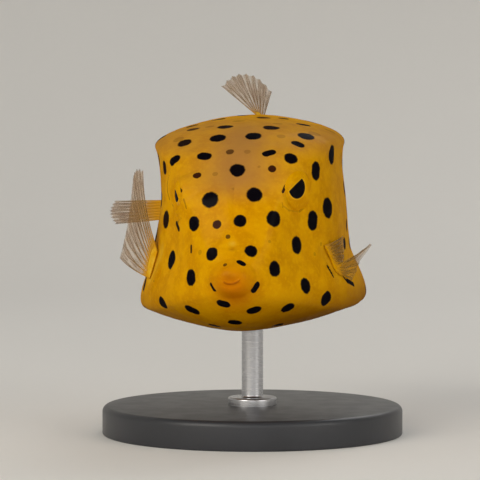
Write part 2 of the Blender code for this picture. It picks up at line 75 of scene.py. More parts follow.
def linear(colour: str) -> tuple[float, float, float, float]:
    """Turn an sRGB hex colour into the linear values that a shader takes.

    Args:
        colour: Six hex digits, with or without a hash before them.

    Returns:
        Red, green, blue and an alpha of one.
    """
    digits = colour.lstrip("#")
    values = [int(digits[i:i + 2], 16) / 255 for i in (0, 2, 4)]
    red, green, blue = (v / 12.92 if v <= 0.04045 else ((v + 0.055) / 1.055) ** 2.4 for v in values)
    return red, green, blue, 1.0


def smoothstep(low: float, high: float, value: np.ndarray) -> np.ndarray:
    """Rise smoothly from 0 at low to 1 at high."""
    t = np.clip((np.asarray(value, float) - low) / (high - low), 0.0, 1.0)
    return t * t * (3 - 2 * t)


def hump(value: np.ndarray, width: float) -> np.ndarray:
    """Rounded hump, 1 at zero, that has nearly gone at twice the width."""
    return np.exp(-(np.asarray(value, float) / width) ** 2)


def hermite(t: np.ndarray | float) -> tuple[np.ndarray | float, ...]:
    """Weights of a curve's start, its slope there, its end and its slope there."""
    return (2 * t ** 3 - 3 * t ** 2 + 1, t ** 3 - 2 * t ** 2 + t, 3 * t ** 2 - 2 * t ** 3, t ** 3 - t ** 2)


def through(points: Line, where: np.ndarray | float) -> np.ndarray:
    """Read a smooth curve through points, held level past its ends.

    Args:
        points: The curve's points (place, value), in order of place.
        where: The places to read.

    Returns:
        The curve's values there.
    """
    y, size = np.array(points, float).T
    step = np.diff(y)
    slope = np.diff(size) / step
    inner = (slope[:-1] * step[1:] + slope[1:] * step[:-1]) / (step[:-1] + step[1:])
    first = (3.0 * slope[0] - inner[0]) / 2.0
    last = (3.0 * slope[-1] - inner[-1]) / 2.0
    turn = np.concatenate([[first], inner, [last]])
    where = np.clip(np.asarray(where, float), y[0], y[-1])
    k = np.clip(np.searchsorted(y, where, side="right") - 1, 0, len(step) - 1)
    h = step[k]
    start, leave, end, arrive = hermite((where - y[k]) / h)
    return start * size[k] + leave * h * turn[k] + end * size[k + 1] + arrive * h * turn[k + 1]


def unit(vector: np.ndarray) -> np.ndarray:
    """Scale vectors along the last axis to length one."""
    length = np.linalg.norm(vector, axis=-1, keepdims=True)
    return vector / np.maximum(length, 1e-9)


def chain_distance(points: np.ndarray, chain: np.ndarray) -> np.ndarray:
    """Measure how far points are from a chain of short straight runs.

    Args:
        points: The points, with x, y and z along the last axis.
        chain: The chain's corners, one for each row.

    Returns:
        The distance of each point.
    """
    best = np.full(points.shape[:-1], np.inf)
    for start, end in zip(chain, chain[1:]):
        along = end - start
        share = np.clip((points - start) @ along / max(float(along @ along), 1e-9), 0.0, 1.0)
        away = np.linalg.norm(points - start - share[..., None] * along, axis=-1)
        best = np.minimum(best, away)
    return best


def arc(middle: Span, radius: float, start: float, turn: float = pi / 2, steps: int = 6) -> Line:
    """Draw part of a circle in a profile.

    Args:
        middle: The circle's middle (radius, height).
        radius: Its radius.
        start: Angle at which the arc starts, in radians.
        turn: Angle that it goes through.
        steps: Straight runs that it is made of.

    Returns:
        The arc's points.
    """
    angles = [start + turn * i / steps for i in range(steps + 1)]
    return tuple((middle[0] + radius * cos(a), middle[1] + radius * sin(a)) for a in angles)


class Tone(Enum):
    """How dark a mark is, and how brown: strength, warmth. Most marks are pigment; a few lines are painted
    shade.
    """

    BLACK = (1.0, 0.0)
    DARK = (0.985, 0.1)
    GREY = (0.86, 0.3)
    BROWN = (0.99, 1.0)
    DULL = (0.80, 1.0)
    FAINT = (0.26, 0.8)
    LINE = (0.42, 1.0)


@dataclass(frozen=True)
class BodyPlan:
    """Lines of the body's skin, the same as the solids have.

    Each line gives a size at places along the fish. A half section has four curves between crown,
    shoulder, waist, keel and belly.
    """

    rear_y: float = 52.0
    crown_z: Line = ((1.2, 1.9), (3.0, 4.1), (6.5, 10.4), (10.0, 14.6), (15.0, 17.2), (26.0, 18.7),
                     (38.0, 18.0), (46.0, 15.2), (50.5, 10.6), (52.0, 7.4))
    shoulder_x: Line = ((1.2, 1.5), (3.0, 2.5), (6.5, 5.1), (10.0, 7.6), (15.0, 10.7), (22.0, 12.6),
                        (30.0, 12.8), (38.0, 11.9), (46.0, 9.4), (52.0, 3.9))
    shoulder_z: Line = ((1.2, 1.3), (3.0, 3.0), (6.5, 8.3), (10.0, 12.6), (15.0, 14.6), (26.0, 14.9),
                        (38.0, 13.7), (46.0, 11.6), (52.0, 6.2))
    waist_x: Line = ((1.2, 2.1), (3.0, 3.3), (6.5, 6.6), (10.0, 9.2), (15.0, 12.1), (22.0, 13.3),
                     (30.0, 13.3), (38.0, 12.0), (46.0, 9.5), (52.0, 4.1))
    waist_z: Line = ((1.2, 0.0), (6.5, 1.6), (15.0, 1.2), (30.0, 0.8), (46.0, 1.0), (52.0, 3.0))
    keel_x: Line = ((1.2, 1.6), (3.0, 3.2), (6.5, 7.4), (10.0, 10.1), (15.0, 12.7), (22.0, 14.6),
                    (30.0, 15.1), (38.0, 13.9), (46.0, 10.8), (52.0, 3.6))
    keel_z: Line = ((1.2, -1.4), (3.0, -2.5), (6.5, -4.2), (10.0, -5.3), (15.0, -6.3), (26.0, -7.0),
                    (38.0, -6.5), (46.0, -4.6), (52.0, 0.2))
    belly_z: Line = ((1.2, -2.0), (3.0, -3.9), (6.5, -7.0), (10.0, -8.3), (15.0, -9.2), (26.0, -9.8),
                     (38.0, -9.0), (46.0, -6.9), (52.0, -0.9))
    shoulder_turn: Line = ((1.2, -45.0), (6.5, -60.0), (10.0, -78.0), (15.0, -93.0), (52.0, -93.0))
    waist_turn: float = -82.0
    keel_turn: Line = ((1.2, -130.0), (6.5, -138.0), (12.0, -150.0), (18.0, -158.0), (52.0, -158.0))
    pulls: tuple[tuple[float, float], ...] = ((1.15, 0.55), (0.75, 0.9), (0.9, 0.75), (0.55, 1.15))
    steps: tuple[int, ...] = (38, 38, 24, 40)

    def half_sections(self, y: np.ndarray) -> np.ndarray:
        """Work out the left half of the skin's section at several places.

        Args:
            y: Places along the fish.

        Returns:
            Array (places, points from crown to belly, 2) of x and z.
        """
        y = np.atleast_1d(np.asarray(y, float))
        zero = np.zeros_like(y)
        knots = np.array([
            [zero, through(self.crown_z, y)],
            [through(self.shoulder_x, y), through(self.shoulder_z, y)],
            [through(self.waist_x, y), through(self.waist_z, y)],
            [through(self.keel_x, y), through(self.keel_z, y)],
            [zero, through(self.belly_z, y)],
        ])
        turns = np.radians([zero, through(self.shoulder_turn, y), zero + self.waist_turn,
                            through(self.keel_turn, y), zero - 180.0])
        places = [(c, i / n) for c, n in enumerate(self.steps) for i in range(n)]
        places.append((len(self.steps) - 1, 1.0))
        points = []
        for curve, t in places:
            a, b = knots[curve], knots[curve + 1]
            chord = np.hypot(*(b - a))
            out, into = (chord * pull * np.array([np.cos(turn), np.sin(turn)])
                         for pull, turn in zip(self.pulls[curve], turns[curve:curve + 2]))
            start, leave, end, arrive = hermite(t)
            points.append(start * a + leave * out + end * b + arrive * into)
        return np.array(points).transpose(2, 0, 1)

    def skin_x(self, y: float, z: float) -> float:
        """Half-width of the skin at a place and height on its side."""
        half = self.half_sections(np.array([y]))[0]
        return float(np.interp(-z, -half[:, 1], half[:, 0]))

    def on_side(self, y: float, z: float, side: int) -> np.ndarray:
        """Point of the skin on the left (1) or right (-1) flank."""
        return np.array([side * self.skin_x(y, z), y, z])

    def side_line(self, line: Line, side: int, behind: float = 0.0) -> np.ndarray:
        """Points of the flank along a line (place, height), or a little behind it."""
        return np.array([self.on_side(y + behind, z, side) for y, z in line])

    def side_normal(self, y: float, z: float, side: int, step: float = 0.3) -> np.ndarray:
        """Find the outward direction of the flank.

        Args:
            y: Place along the fish.
            z: Height.
            side: 1 on the left, -1 on the right.
            step: How far apart the points are that it is worked out from.

        Returns:
            The direction.
        """
        along = (self.skin_x(y + step, z) - self.skin_x(y - step, z)) / (2 * step)
        up = (self.skin_x(y, z + step) - self.skin_x(y, z - step)) / (2 * step)
        return unit(np.array([side, -along, -up]))


@dataclass(frozen=True)
class Pose:
    """How the fish is held: banked a little, snout down, its belly over the base's centre."""

    snout_down: float = 5.2
    bank: float = -0.8
    hold_y: float = 25.0
    belly_over_floor: float = 15.5

    def turn(self) -> Matrix:
        """Rotation from the fish's frame to the room's."""
        return Matrix.Rotation(radians(self.snout_down), 4, "X") @ Matrix.Rotation(radians(self.bank), 4, "Y")

    def matrix(self, plan: BodyPlan) -> Matrix:
        """Place the fish in the room.

        Args:
            plan: The body's lines.

        Returns:
            The whole placement, in millimetres.
        """
        belly = Vector((0, self.hold_y, float(through(plan.belly_z, self.hold_y))))
        held = self.turn() @ belly
        return Matrix.Translation(Vector((0, 0, self.belly_over_floor)) - held) @ self.turn()


@dataclass(frozen=True)
class PhotoView:
    """The camera of the photograph: its direction, its distance and where it shows the snout."""

    azimuth: float = 6.6
    elevation: float = 2.5
    distance: float = 320.0
    mm_per_pixel: float = 0.1295
    snout_pixel: Span = (229.5, 280.0)
    sensor: float = 36.0
    nearest: float = 5.0

    def axes(self) -> tuple[Vector, Vector, Vector]:
        """Work out the camera's axes.

        Returns:
            Directions back to the camera, to its right and up.
        """
        a, e = radians(self.azimuth), radians(self.elevation)
        back = Vector((sin(a) * cos(e), -cos(a) * cos(e), sin(e)))
        right = Vector((cos(a), sin(a), 0.0))
        return back, right, back.cross(right)

    def place(self, pose: Matrix) -> Vector:
        """Work out where the camera stands.

        Args:
            pose: Placement of the fish.

        Returns:
            The camera's place in the room, in millimetres.
        """
        back, right, up = self.axes()
        half = IMAGE / 2
        aside = (self.snout_pixel[0] - half) * self.mm_per_pixel
        above = (self.snout_pixel[1] - half) * self.mm_per_pixel
        return pose @ Vector((0, 0, 0)) + back * self.distance - right * aside + up * above

    def ray(self, pixel: Span, pose: Matrix) -> tuple[Vector, Vector]:
        """Send a ray from the camera through a pixel, in the fish's frame.

        Args:
            pixel: Column and row in the photograph.
            pose: Placement of the fish.

        Returns:
            The ray's start and its direction.
        """
        back, right, up = self.axes()
        focal = self.distance / self.mm_per_pixel
        half = IMAGE / 2
        way = -back * focal + right * (pixel[0] - half) - up * (pixel[1] - half)
        to_fish = pose.inverted()
        return to_fish @ self.place(pose), (to_fish.to_3x3() @ way).normalized()

    def make_camera(self, pose: Matrix) -> None:
        """Set up the camera and make it the scene's own.

        Args:
            pose: Placement of the fish.
        """
        camera = bpy.data.cameras.new("photo_camera")
        camera.sensor_width = self.sensor
        camera.lens = self.distance / self.mm_per_pixel * self.sensor / IMAGE
        camera.clip_start = self.nearest * MM
        held = bpy.data.objects.new("photo_camera", camera)
        held.location = self.place(pose) * MM
        held.rotation_euler = (radians(90 - self.elevation), 0.0, radians(self.azimuth))
        bpy.context.scene.collection.objects.link(held)
        bpy.context.scene.camera = held


def connect(tree: Tree, node: bpy.types.Node, inputs: dict | tuple) -> None:
    """Set or link a node's inputs.

    Args:
        tree: The material's node tree.
        node: The node.
        inputs: Values or output sockets, in order of the inputs or by name or number.
    """
    for name, value in inputs.items() if isinstance(inputs, dict) else enumerate(inputs):
        if isinstance(value, Socket):
            tree.links.new(value, node.inputs[name])
        else:
            node.inputs[name].default_value = value


def add_node(tree: Tree, kind: str, inputs: dict | tuple = (), output: int | str = 0,
             **settings: str) -> Socket:
    """Add a node with its settings and links.

    Args:
        tree: The material's node tree.
        kind: Blender's name for the node, without the words that all of them start with.
        inputs: Values or output sockets for its inputs.
        output: Name or number of the output that is wanted.
        settings: Values of the node's own fields.

    Returns:
        That output's socket.
    """
    node = tree.nodes.new(f"ShaderNode{kind}")
    for name, value in settings.items():
        setattr(node, name, value)
    connect(tree, node, inputs)
    return node.outputs[output]


def layered(tree: Tree, ground: Socket | str, *layers: tuple[Socket, Socket | str]) -> Socket:
    """Lay colours over a ground, one after another.

    Args:
        tree: The material's node tree.
        ground: The lowest colour.
        layers: How much of each colour shows, and the colour.

    Returns:
        Socket of the colour that shows.
    """
    for share, colour in layers:
        under, over = (linear(c) if isinstance(c, str) else c for c in (ground, colour))
        ground = add_node(tree, "Mix", {0: share, 6: under, 7: over}, 2, data_type="RGBA")
    return ground


@dataclass(frozen=True)
class Clouds:
    """Soft irregular pattern: its grain in real millimetres, and the part of its range that is read."""

    grain: float
    low: float = 0.3
    high: float = 0.7
    least: float = 0.0
    most: float = 1.0
    detail: float = 3.0

    def plain(self, tree: Tree, where: Socket | None = None) -> Socket:
        """Add the bare noise.

        Args:
            tree: The material's node tree.
            where: Coordinates to use in place of the object's.

        Returns:
            Socket of the noise.
        """
        where = where or add_node(tree, "TexCoord", output="Object")
        return add_node(tree, "TexNoise", {"Vector": where, "Scale": 1 / (self.grain * MM),
                                           "Detail": self.detail})

    def spread(self, tree: Tree, where: Socket | None = None) -> Socket:
        """The noise, spread from the least to the most."""
        ends = (self.low, self.high, self.least, self.most)
        return add_node(tree, "MapRange", (self.plain(tree, where), *ends), **SMOOTH)


@dataclass(frozen=True)
class Finish:
    """What every finish has: its name, and how its material is made.

    A bump is its strength and its depth in millimetres, and a film is the clear coat's weight and
    roughness.
    """

    name: str = ""

    def look(self, tree: Tree) -> Look:
        """Values and sockets for the shader, by input."""
        raise NotImplementedError

    def make(self) -> bpy.types.Material:
        """Build the material.

        Returns:
            The material.
        """
        material = bpy.data.materials.new(self.name)
        material.use_nodes = True
        tree = material.node_tree
        connect(tree, tree.nodes["Principled BSDF"], self.look(tree))
        return material


@dataclass(frozen=True)
class FishSkin(Finish):
    """Boxfish skin: yellow pigment under a thin clear film of slime, over hard plates.

    The pigment gives a deep golden yellow with soft mottling, the film a low satin gloss, and the
    plates a faint net of lines.
    """

    name: str = "boxfish_skin"
    yellow: str = "#DA9B00"
    gold: str = "#CB8A00"
    fleck: str = "#E2AC06"
    # Zone tints, in order: painted shade under the fish and on its outer flanks; a painted sheen of overhead
    # light on the brow and crown; a painted highlight over the mouth, with the paler muscle before each side
    # fin; the muzzle's orange; and a reddish brown on the upper lip, with painted shade in the mouth's
    # groove, in the crease under the fold over the mouth, under the chin and in the gill slits.
    zones: tuple[tuple[str, str], ...] = (
        ("zone_shade", "#7C4C00"), ("zone_tan", "#A8763E"), ("zone_pale", "#DDAE2A"),
        ("zone_orange", "#C46A00"), ("zone_rust", "#7A3206"))
    ink: str = "#0A070C"
    brown: str = "#35180C"
    mottle: Clouds = Clouds(2.2, 0.38, 0.66)
    flecks: Clouds = Clouds(0.45, 0.45, 0.72, most=0.45, detail=4.0)
    wobble: Clouds = Clouds(0.5, least=-0.045, most=0.045)
    spot_rim: Ramp = (0.99, 1.23, 1.0, 0.0)
    plate: float = 2.6
    plate_disorder: float = 0.45
    seam: Span = (0.0, 0.09)
    seam_share: float = 0.25
    grain: Clouds = Clouds(0.16)
    grain_share: float = 0.55
    bump: Span = (0.35, 0.05)
    gloss: Clouds = Clouds(0.8, least=0.44, most=0.58)
    film: Span = (0.06, 0.22)

    def ground(self, tree: Tree) -> Socket:
        """Plain yellow of the skin, mottled and flecked."""
        layers = ((self.mottle.spread(tree), self.gold), (self.flecks.spread(tree), self.fleck))
        return layered(tree, self.yellow, *layers)

    def look(self, tree: Tree) -> Look:
        """Tint the zones, which hold painted shade, a painted sheen and a painted highlight among their
        colours, set the spots in, and raise the plates.

        Args:
            tree: The material's node tree.

        Returns:
            Values and sockets for the shader, by input.
        """
        colour = self.ground(tree)
        for zone, tint in self.zones:
            share = add_node(tree, "Attribute", output="Fac", attribute_name=zone)
            colour = layered(tree, colour, (share, tint))
        edge, strength, warmth = (add_node(tree, "Attribute", output="Fac", attribute_name=f"spot_{word}")
                                  for word in ("edge", "strength", "warmth"))
        edge = add_node(tree, "Math", (edge, self.wobble.spread(tree)), operation="ADD")
        inside = add_node(tree, "MapRange", (edge, *self.spot_rim), **SMOOTH)
        shown = add_node(tree, "Math", (inside, strength), operation="MULTIPLY")
        colour = layered(tree, colour, (shown, layered(tree, self.ink, (warmth, self.brown))))
        where = add_node(tree, "TexCoord", output="Object")
        plates = add_node(tree, "TexVoronoi", {"Vector": where, "Scale": 1 / (self.plate * MM),
                                               "Randomness": self.plate_disorder},
                          feature="DISTANCE_TO_EDGE")
        net = add_node(tree, "MapRange", (plates, *self.seam), **SMOOTH)
        net = add_node(tree, "Math", (net, self.seam_share), operation="MULTIPLY")
        grain = add_node(tree, "Math", (self.grain.plain(tree), self.grain_share), operation="MULTIPLY")
        height = add_node(tree, "Math", (net, grain), operation="ADD")
        bump = add_node(tree, "Bump", {"Strength": self.bump[0], "Distance": self.bump[1] * MM,
                                       "Height": height})
        return {"Base Color": colour, "Roughness": self.gloss.spread(tree), "Normal": bump,
                "Coat Weight": self.film[0], "Coat Roughness": self.film[1], "Specular IOR Level": 0.0}


@dataclass(frozen=True)
class FishEye(Finish):
    """Living eye: a clear wet cornea over a golden iris, with a bright line round a black pupil."""

    name: str = "wet_fish_eye"
    gold: str = "#E8AC14"
    pupil: str = "#050408"
    rim: Ramp = (0.091, 0.234, 0.9, 0.0)
    pupil_edge: Ramp = (-0.03, 0.03, 1.0, 0.0)
    open_eye: Ramp = (0.0, 0.5, 1.0, 0.0)
    near_pupil: Ramp = (0.1, 0.6, 1.0, 0.0)
    film: Span = (0.05, 0.14)
    film_roughness: float = 0.08
    roughness: float = 0.55

    def look(self, tree: Tree) -> Look:
        """Draw the pupil and its rim on the iris, and wet the open part of the eye.

        Args:
            tree: The material's node tree.

        Returns:
            Values and sockets for the shader, by input.
        """
        colour = FishSkin().ground(tree)
        outside = add_node(tree, "Attribute", output="Fac", attribute_name="pupil_edge")
        fold = add_node(tree, "Attribute", output="Fac", attribute_name="fold")
        ring, inside, near = (add_node(tree, "MapRange", (outside, *ramp), **SMOOTH)
                              for ramp in (self.rim, self.pupil_edge, self.near_pupil))
        clear = add_node(tree, "MapRange", (fold, *self.open_eye), **SMOOTH)
        wet = add_node(tree, "Math", (clear, near), operation="MULTIPLY")
        film = add_node(tree, "MapRange", (wet, 0.0, 1.0, *self.film), **SMOOTH)
        return {"Base Color": layered(tree, colour, (ring, self.gold), (inside, self.pupil)),
                "Roughness": self.roughness, "Coat Weight": film, "Coat Roughness": self.film_roughness,
                "Specular IOR Level": 0.0}


@dataclass(frozen=True)
class FinSkin(Finish):
    """Fin membrane: skin less than a tenth of a millimetre thick, so that light comes through it.

    It looks smoky brown, denser along each ray, with a yellow tint where it leaves the body.
    """

    name: str = "fin_membrane"
    smoke: str = "#8E6220"
    clear: str = "#A98238"
    root: str = "#DA9B00"
    streaks: Clouds = Clouds(0.55, 0.35, 0.68)
    stretch: Span = (1.2, 1.5)
    by_ray: Ramp = (0.08, 0.42, 1.0, 0.0)
    by_ray_share: float = 0.7
    root_tint: Ramp = (0.05, 0.36, 1.0, 0.0)
    root_cover: Ramp = (0.04, 0.32, 0.95, 0.0)
    cover: Span = (0.18, 0.46)
    roughness: float = 0.42
    shine: float = 0.1

    def look(self, tree: Tree) -> Look:
        """Streak the membrane along its rays, and thin it towards its edge.

        Args:
            tree: The material's node tree.

        Returns:
            Values and sockets for the shader, by input.
        """
        along, across = (add_node(tree, "Attribute", output="Fac", attribute_name=name)
                         for name in ("along_fin", "across_fin"))
        lane, run = (add_node(tree, "Math", (way, stretch * MM), operation="MULTIPLY")
                     for way, stretch in zip((across, along), self.stretch))
        streak = self.streaks.spread(tree, add_node(tree, "CombineXYZ", (lane, run)))
        off_ray = add_node(tree, "Math", (across, 0.5), operation="PINGPONG")
        by_ray = add_node(tree, "MapRange", (off_ray, *self.by_ray), **SMOOTH)
        by_ray = add_node(tree, "Math", (by_ray, self.by_ray_share), operation="MULTIPLY")
        dense = add_node(tree, "Math", (by_ray, streak), operation="MAXIMUM")
        tint, thick = (add_node(tree, "MapRange", (along, *ramp), **SMOOTH)
                       for ramp in (self.root_tint, self.root_cover))
        cover = add_node(tree, "MapRange", (dense, 0.0, 1.0, *self.cover), **SMOOTH)
        cover = add_node(tree, "Math", (cover, thick), operation="MAXIMUM")
        return {"Base Color": layered(tree, self.clear, (dense, self.smoke), (tint, self.root)),
                "Roughness": self.roughness, "Alpha": cover, "Specular IOR Level": self.shine}


@dataclass(frozen=True)
class FinRay(Finish):
    """Soft fin ray: jointed, milky bone under thin skin, a little paler than the membrane."""

    name: str = "fin_ray"
    root: str = "#D49808"
    tip: str = "#A6823E"
    dark: str = "#866230"
    dull: Clouds = Clouds(0.4, least=0.1, most=0.6)
    tip_tint: Span = (0.08, 0.45)
    dull_run: Span = (0.1, 0.4)
    cover: Ramp = (0.15, 0.9, 0.75, 0.30)
    roughness: float = 0.42
    shine: float = 0.1

    def look(self, tree: Tree) -> Look:
        """Pale and dull the ray towards its tip, where it gets thinner.

        Args:
            tree: The material's node tree.

        Returns:
            Values and sockets for the shader, by input.
        """
        along = add_node(tree, "Attribute", output="Fac", attribute_name="along_fin")
        tint, dulled, cover = (add_node(tree, "MapRange", (along, *ramp), **SMOOTH)
                               for ramp in (self.tip_tint, self.dull_run, self.cover))
        dull = add_node(tree, "Math", (self.dull.spread(tree), dulled), operation="MULTIPLY")
        return {"Base Color": layered(tree, self.root, (tint, self.tip), (dull, self.dark)),
                "Roughness": self.roughness, "Alpha": cover, "Specular IOR Level": self.shine}


@dataclass(frozen=True)
class FinFlesh(Finish):
    """Fleshy foot of a fin: pale yellow muscle under skin, smoother than the plated body."""

    name: str = "fin_flesh"
    pale: str = "#E4B22C"
    deep: str = "#DA9E0A"
    mottle: Clouds = Clouds(0.9, 0.35, 0.65)
    grain: Clouds = Clouds(0.2)
    bump: Span = (0.25, 0.04)
    roughness: float = 0.5
    film: Span = (0.08, 0.2)

    def look(self, tree: Tree) -> Look:
        """Mottle the flesh and give it a fine grain.

        Args:
            tree: The material's node tree.

        Returns:
            Values and sockets for the shader, by input.
        """
        bump = add_node(tree, "Bump", {"Strength": self.bump[0], "Distance": self.bump[1] * MM,
                                       "Height": self.grain.plain(tree)})
        return {"Base Color": layered(tree, self.pale, (self.mottle.spread(tree), self.deep)),
                "Roughness": self.roughness, "Normal": bump, "Coat Weight": self.film[0],
                "Coat Roughness": self.film[1], "Specular IOR Level": 0.0}


@dataclass(frozen=True)
class CharcoalPaint(Finish):
    """Satin charcoal enamel sprayed on metal: even and dark, with a fine orange-peel skin."""

    name: str = "satin_charcoal_enamel"
    colour: str = "#2C2D31"
    worn: str = "#313237"
    cloud: Clouds = Clouds(6.0, most=0.6)
    peel: Clouds = Clouds(0.5, detail=2.0)
    bump: Span = (0.25, 0.02)
    gloss: Clouds = Clouds(3.0, least=0.36, most=0.41)

    def look(self, tree: Tree) -> Look:
        """Give the paint its faint unevenness and its orange peel.

        Args:
            tree: The material's node tree.

        Returns:
            Values and sockets for the shader, by input.
        """
        bump = add_node(tree, "Bump", {"Strength": self.bump[0], "Distance": self.bump[1] * MM,
                                       "Height": self.peel.plain(tree)})
        return {"Base Color": layered(tree, self.colour, (self.cloud.spread(tree), self.worn)),
                "Roughness": self.gloss.spread(tree), "Normal": bump}


@dataclass(frozen=True)
class BrushedSteel(Finish):
    """Stainless steel rod, brushed round its length on a lathe: fine rings that blur reflections.

    The real brush marks are about 0.05 mm apart; they are drawn at 0.25 mm so that they show.
    """

    name: str = "brushed_stainless_steel"
    colour: str = "#B9B9BC"
    marks: Clouds = Clouds(0.25, least=0.22, most=0.38, detail=4.0)
    stretch: Point = (0.04, 0.04, 1.0)
    bump: Span = (0.3, 0.01)

    def look(self, tree: Tree) -> Look:
        """Stretch the brush marks round the rod.

        Args:
            tree: The material's node tree.

        Returns:
            Values and sockets for the shader, by input.
        """
        where = add_node(tree, "Mapping", {"Vector": add_node(tree, "TexCoord", output="Object"),
                                           "Scale": self.stretch})
        bump = add_node(tree, "Bump", {"Strength": self.bump[0], "Distance": self.bump[1] * MM,
                                       "Height": self.marks.plain(tree, where)})
        return {"Base Color": linear(self.colour), "Metallic": 1.0,
                "Roughness": self.marks.spread(tree, where), "Normal": bump}


@dataclass(frozen=True)
class StudioPaper(Finish):
    """Matt paper sweep: pale, with no shine and a barely visible tooth."""

    name: str = "matt_paper_sweep"
    colour: str = "#EEECE8"
    shade: str = "#E4E2DE"
    tooth: Clouds = Clouds(1.5, most=0.06)
    roughness: float = 0.95
    shine: float = 0.1

    def look(self, tree: Tree) -> Look:
        """Values and sockets for the shader, by input."""
        return {"Base Color": layered(tree, self.colour, (self.tooth.spread(tree), self.shade)),
                "Roughness": self.roughness, "Specular IOR Level": self.shine}


def bent_grid(places: np.ndarray, closed: bool = False, capped: bool = False,
              stored: dict[str, np.ndarray] | None = None) -> bmesh.types.BMesh:
    """Bend a grid to an array of places, and weld its seam and its poles.

    Args:
        places: Array (rows, columns, 3) in millimetres.
        closed: Whether the last column joins the first.
        capped: Whether open ends are filled.
        stored: Numbers to keep on the vertices, each an array (rows, columns).

    Returns:
        The mesh.
    """
    rows, columns = places.shape[:2]
    across = columns if closed else columns - 1
    bm = bmesh.new()
    bmesh.ops.create_grid(bm, x_segments=across, y_segments=rows - 1, size=1.0)
    layers = {name: bm.verts.layers.float.new(name) for name in stored or {}}
    for vertex in bm.verts:
        column = round((vertex.co.x + 1) / 2 * across) % columns
        row = round((vertex.co.y + 1) / 2 * (rows - 1))
        vertex.co = places[row, column]
        for name, layer in layers.items():
            vertex[layer] = float(stored[name][row, column])
    bmesh.ops.remove_doubles(bm, verts=bm.verts, dist=WELD)
    if capped:
        edges = [e for e in bm.edges if e.is_boundary]
        bmesh.ops.holes_fill(bm, edges=edges, sides=0)
    bmesh.ops.recalc_face_normals(bm, faces=bm.faces)
    return bm


def turned(profile: Line, steps: int) -> bmesh.types.BMesh:
    """Turn a profile once round the upright axis.

    Args:
        profile: Its points (radius, height) in millimetres.
        steps: Steps of the turn.

    Returns:
        The mesh.
    """
    bm = bmesh.new()
    chain = [bm.verts.new((r, 0.0, z)) for r, z in profile]
    edges = [bm.edges.new(pair) for pair in zip(chain, chain[1:])]
    bmesh.ops.spin(bm, geom=chain + edges, cent=(0, 0, 0), axis=(0, 0, 1), angle=2 * pi, steps=steps,
                   use_merge=True)
    bmesh.ops.remove_doubles(bm, verts=bm.verts, dist=WELD)
    bmesh.ops.recalc_face_normals(bm, faces=bm.faces)
    return bm


def mesh_of(name: str, bm: bmesh.types.BMesh) -> bpy.types.Mesh:
    """Store a bmesh as a mesh, and free it.

    Args:
        name: The mesh's name.
        bm: The bmesh.

    Returns:
        The mesh.
    """
    mesh = bpy.data.meshes.new(name)
    bm.to_mesh(mesh)
    bm.free()
    return mesh


def points_of(mesh: bpy.types.Mesh) -> np.ndarray:
    """Read the places of a mesh's vertices.

    Args:
        mesh: The mesh.

    Returns:
        Array (vertices, 3).
    """
    flat = np.zeros(len(mesh.vertices) * 3, np.float32)
    mesh.vertices.foreach_get("co", flat)
    return flat.reshape(-1, 3).astype(float)


def set_attribute(mesh: bpy.types.Mesh, name: str, values: np.ndarray) -> None:
    """Store one number for each vertex."""
    held = mesh.attributes.new(name, "FLOAT", "POINT")
    held.data.foreach_set("value", np.ascontiguousarray(values, dtype=np.float32))


@dataclass
class Workshop:
    """What every piece of the fish shares: the plan, the pose, the view and the finishes."""

    plan: BodyPlan = field(default_factory=BodyPlan)
    pose: Pose = field(default_factory=Pose)
    view: PhotoView = field(default_factory=PhotoView)
    finishes: dict[str, bpy.types.Material] = field(default_factory=dict)

    def matrix(self) -> Matrix:
        """Placement of the fish in millimetres."""
        return self.pose.matrix(self.plan)

    def finish(self, kind: type[Finish]) -> bpy.types.Material:
        """Hand out the material of a finish, made on its first use.

        Args:
            kind: The class of the finish.

        Returns:
            The material.
        """
        if kind.__name__ not in self.finishes:
            self.finishes[kind.__name__] = kind().make()
        return self.finishes[kind.__name__]

    def place(self, name: str, shape: bmesh.types.BMesh | bpy.types.Mesh, kind: type[Finish],
              posed: bool = True) -> bpy.types.Object:
        """Dress a mesh and put it in the scene.

        Args:
            name: The piece's name.
            shape: Its mesh in millimetres. A bmesh is freed here.
            kind: The class of its finish.
            posed: Whether the mesh is in the fish's frame, and not in the room's.

        Returns:
            The piece.
        """
        mesh = shape if isinstance(shape, bpy.types.Mesh) else mesh_of(name, shape)
        scale = Matrix.Scale(MM, 4)
        mesh.transform(scale @ self.matrix() if posed else scale)
        mesh.shade_smooth()
        mesh.materials.append(self.finish(kind))
        piece = bpy.data.objects.new(name, mesh)
        bpy.context.scene.collection.objects.link(piece)
        return piece

    def keep(self, name: str, shape: bmesh.types.BMesh | bpy.types.Mesh, kind: type[Finish], slot: str,
             nodes: tuple[str, ...] = (), posed: bool = True) -> bpy.types.Object:
        """Make a piece of the part and fix it to the frame.

        Args:
            name: The piece's name.
            shape: Its mesh in millimetres. A bmesh is freed here.
            kind: The class of its finish.
            slot: The record's material slot; not used.
            nodes: The solids that it stands for.
            posed: Whether the mesh is in the fish's frame, and not in the room's.

        Returns:
            The piece.
        """
        piece = self.place(name, shape, kind, posed)
        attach(piece, "root")
        if nodes:
            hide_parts(*nodes)
        LOG.info("%s: %d faces, stands for %s", name, len(piece.data.polygons), ", ".join(nodes) or "nothing")
        return piece


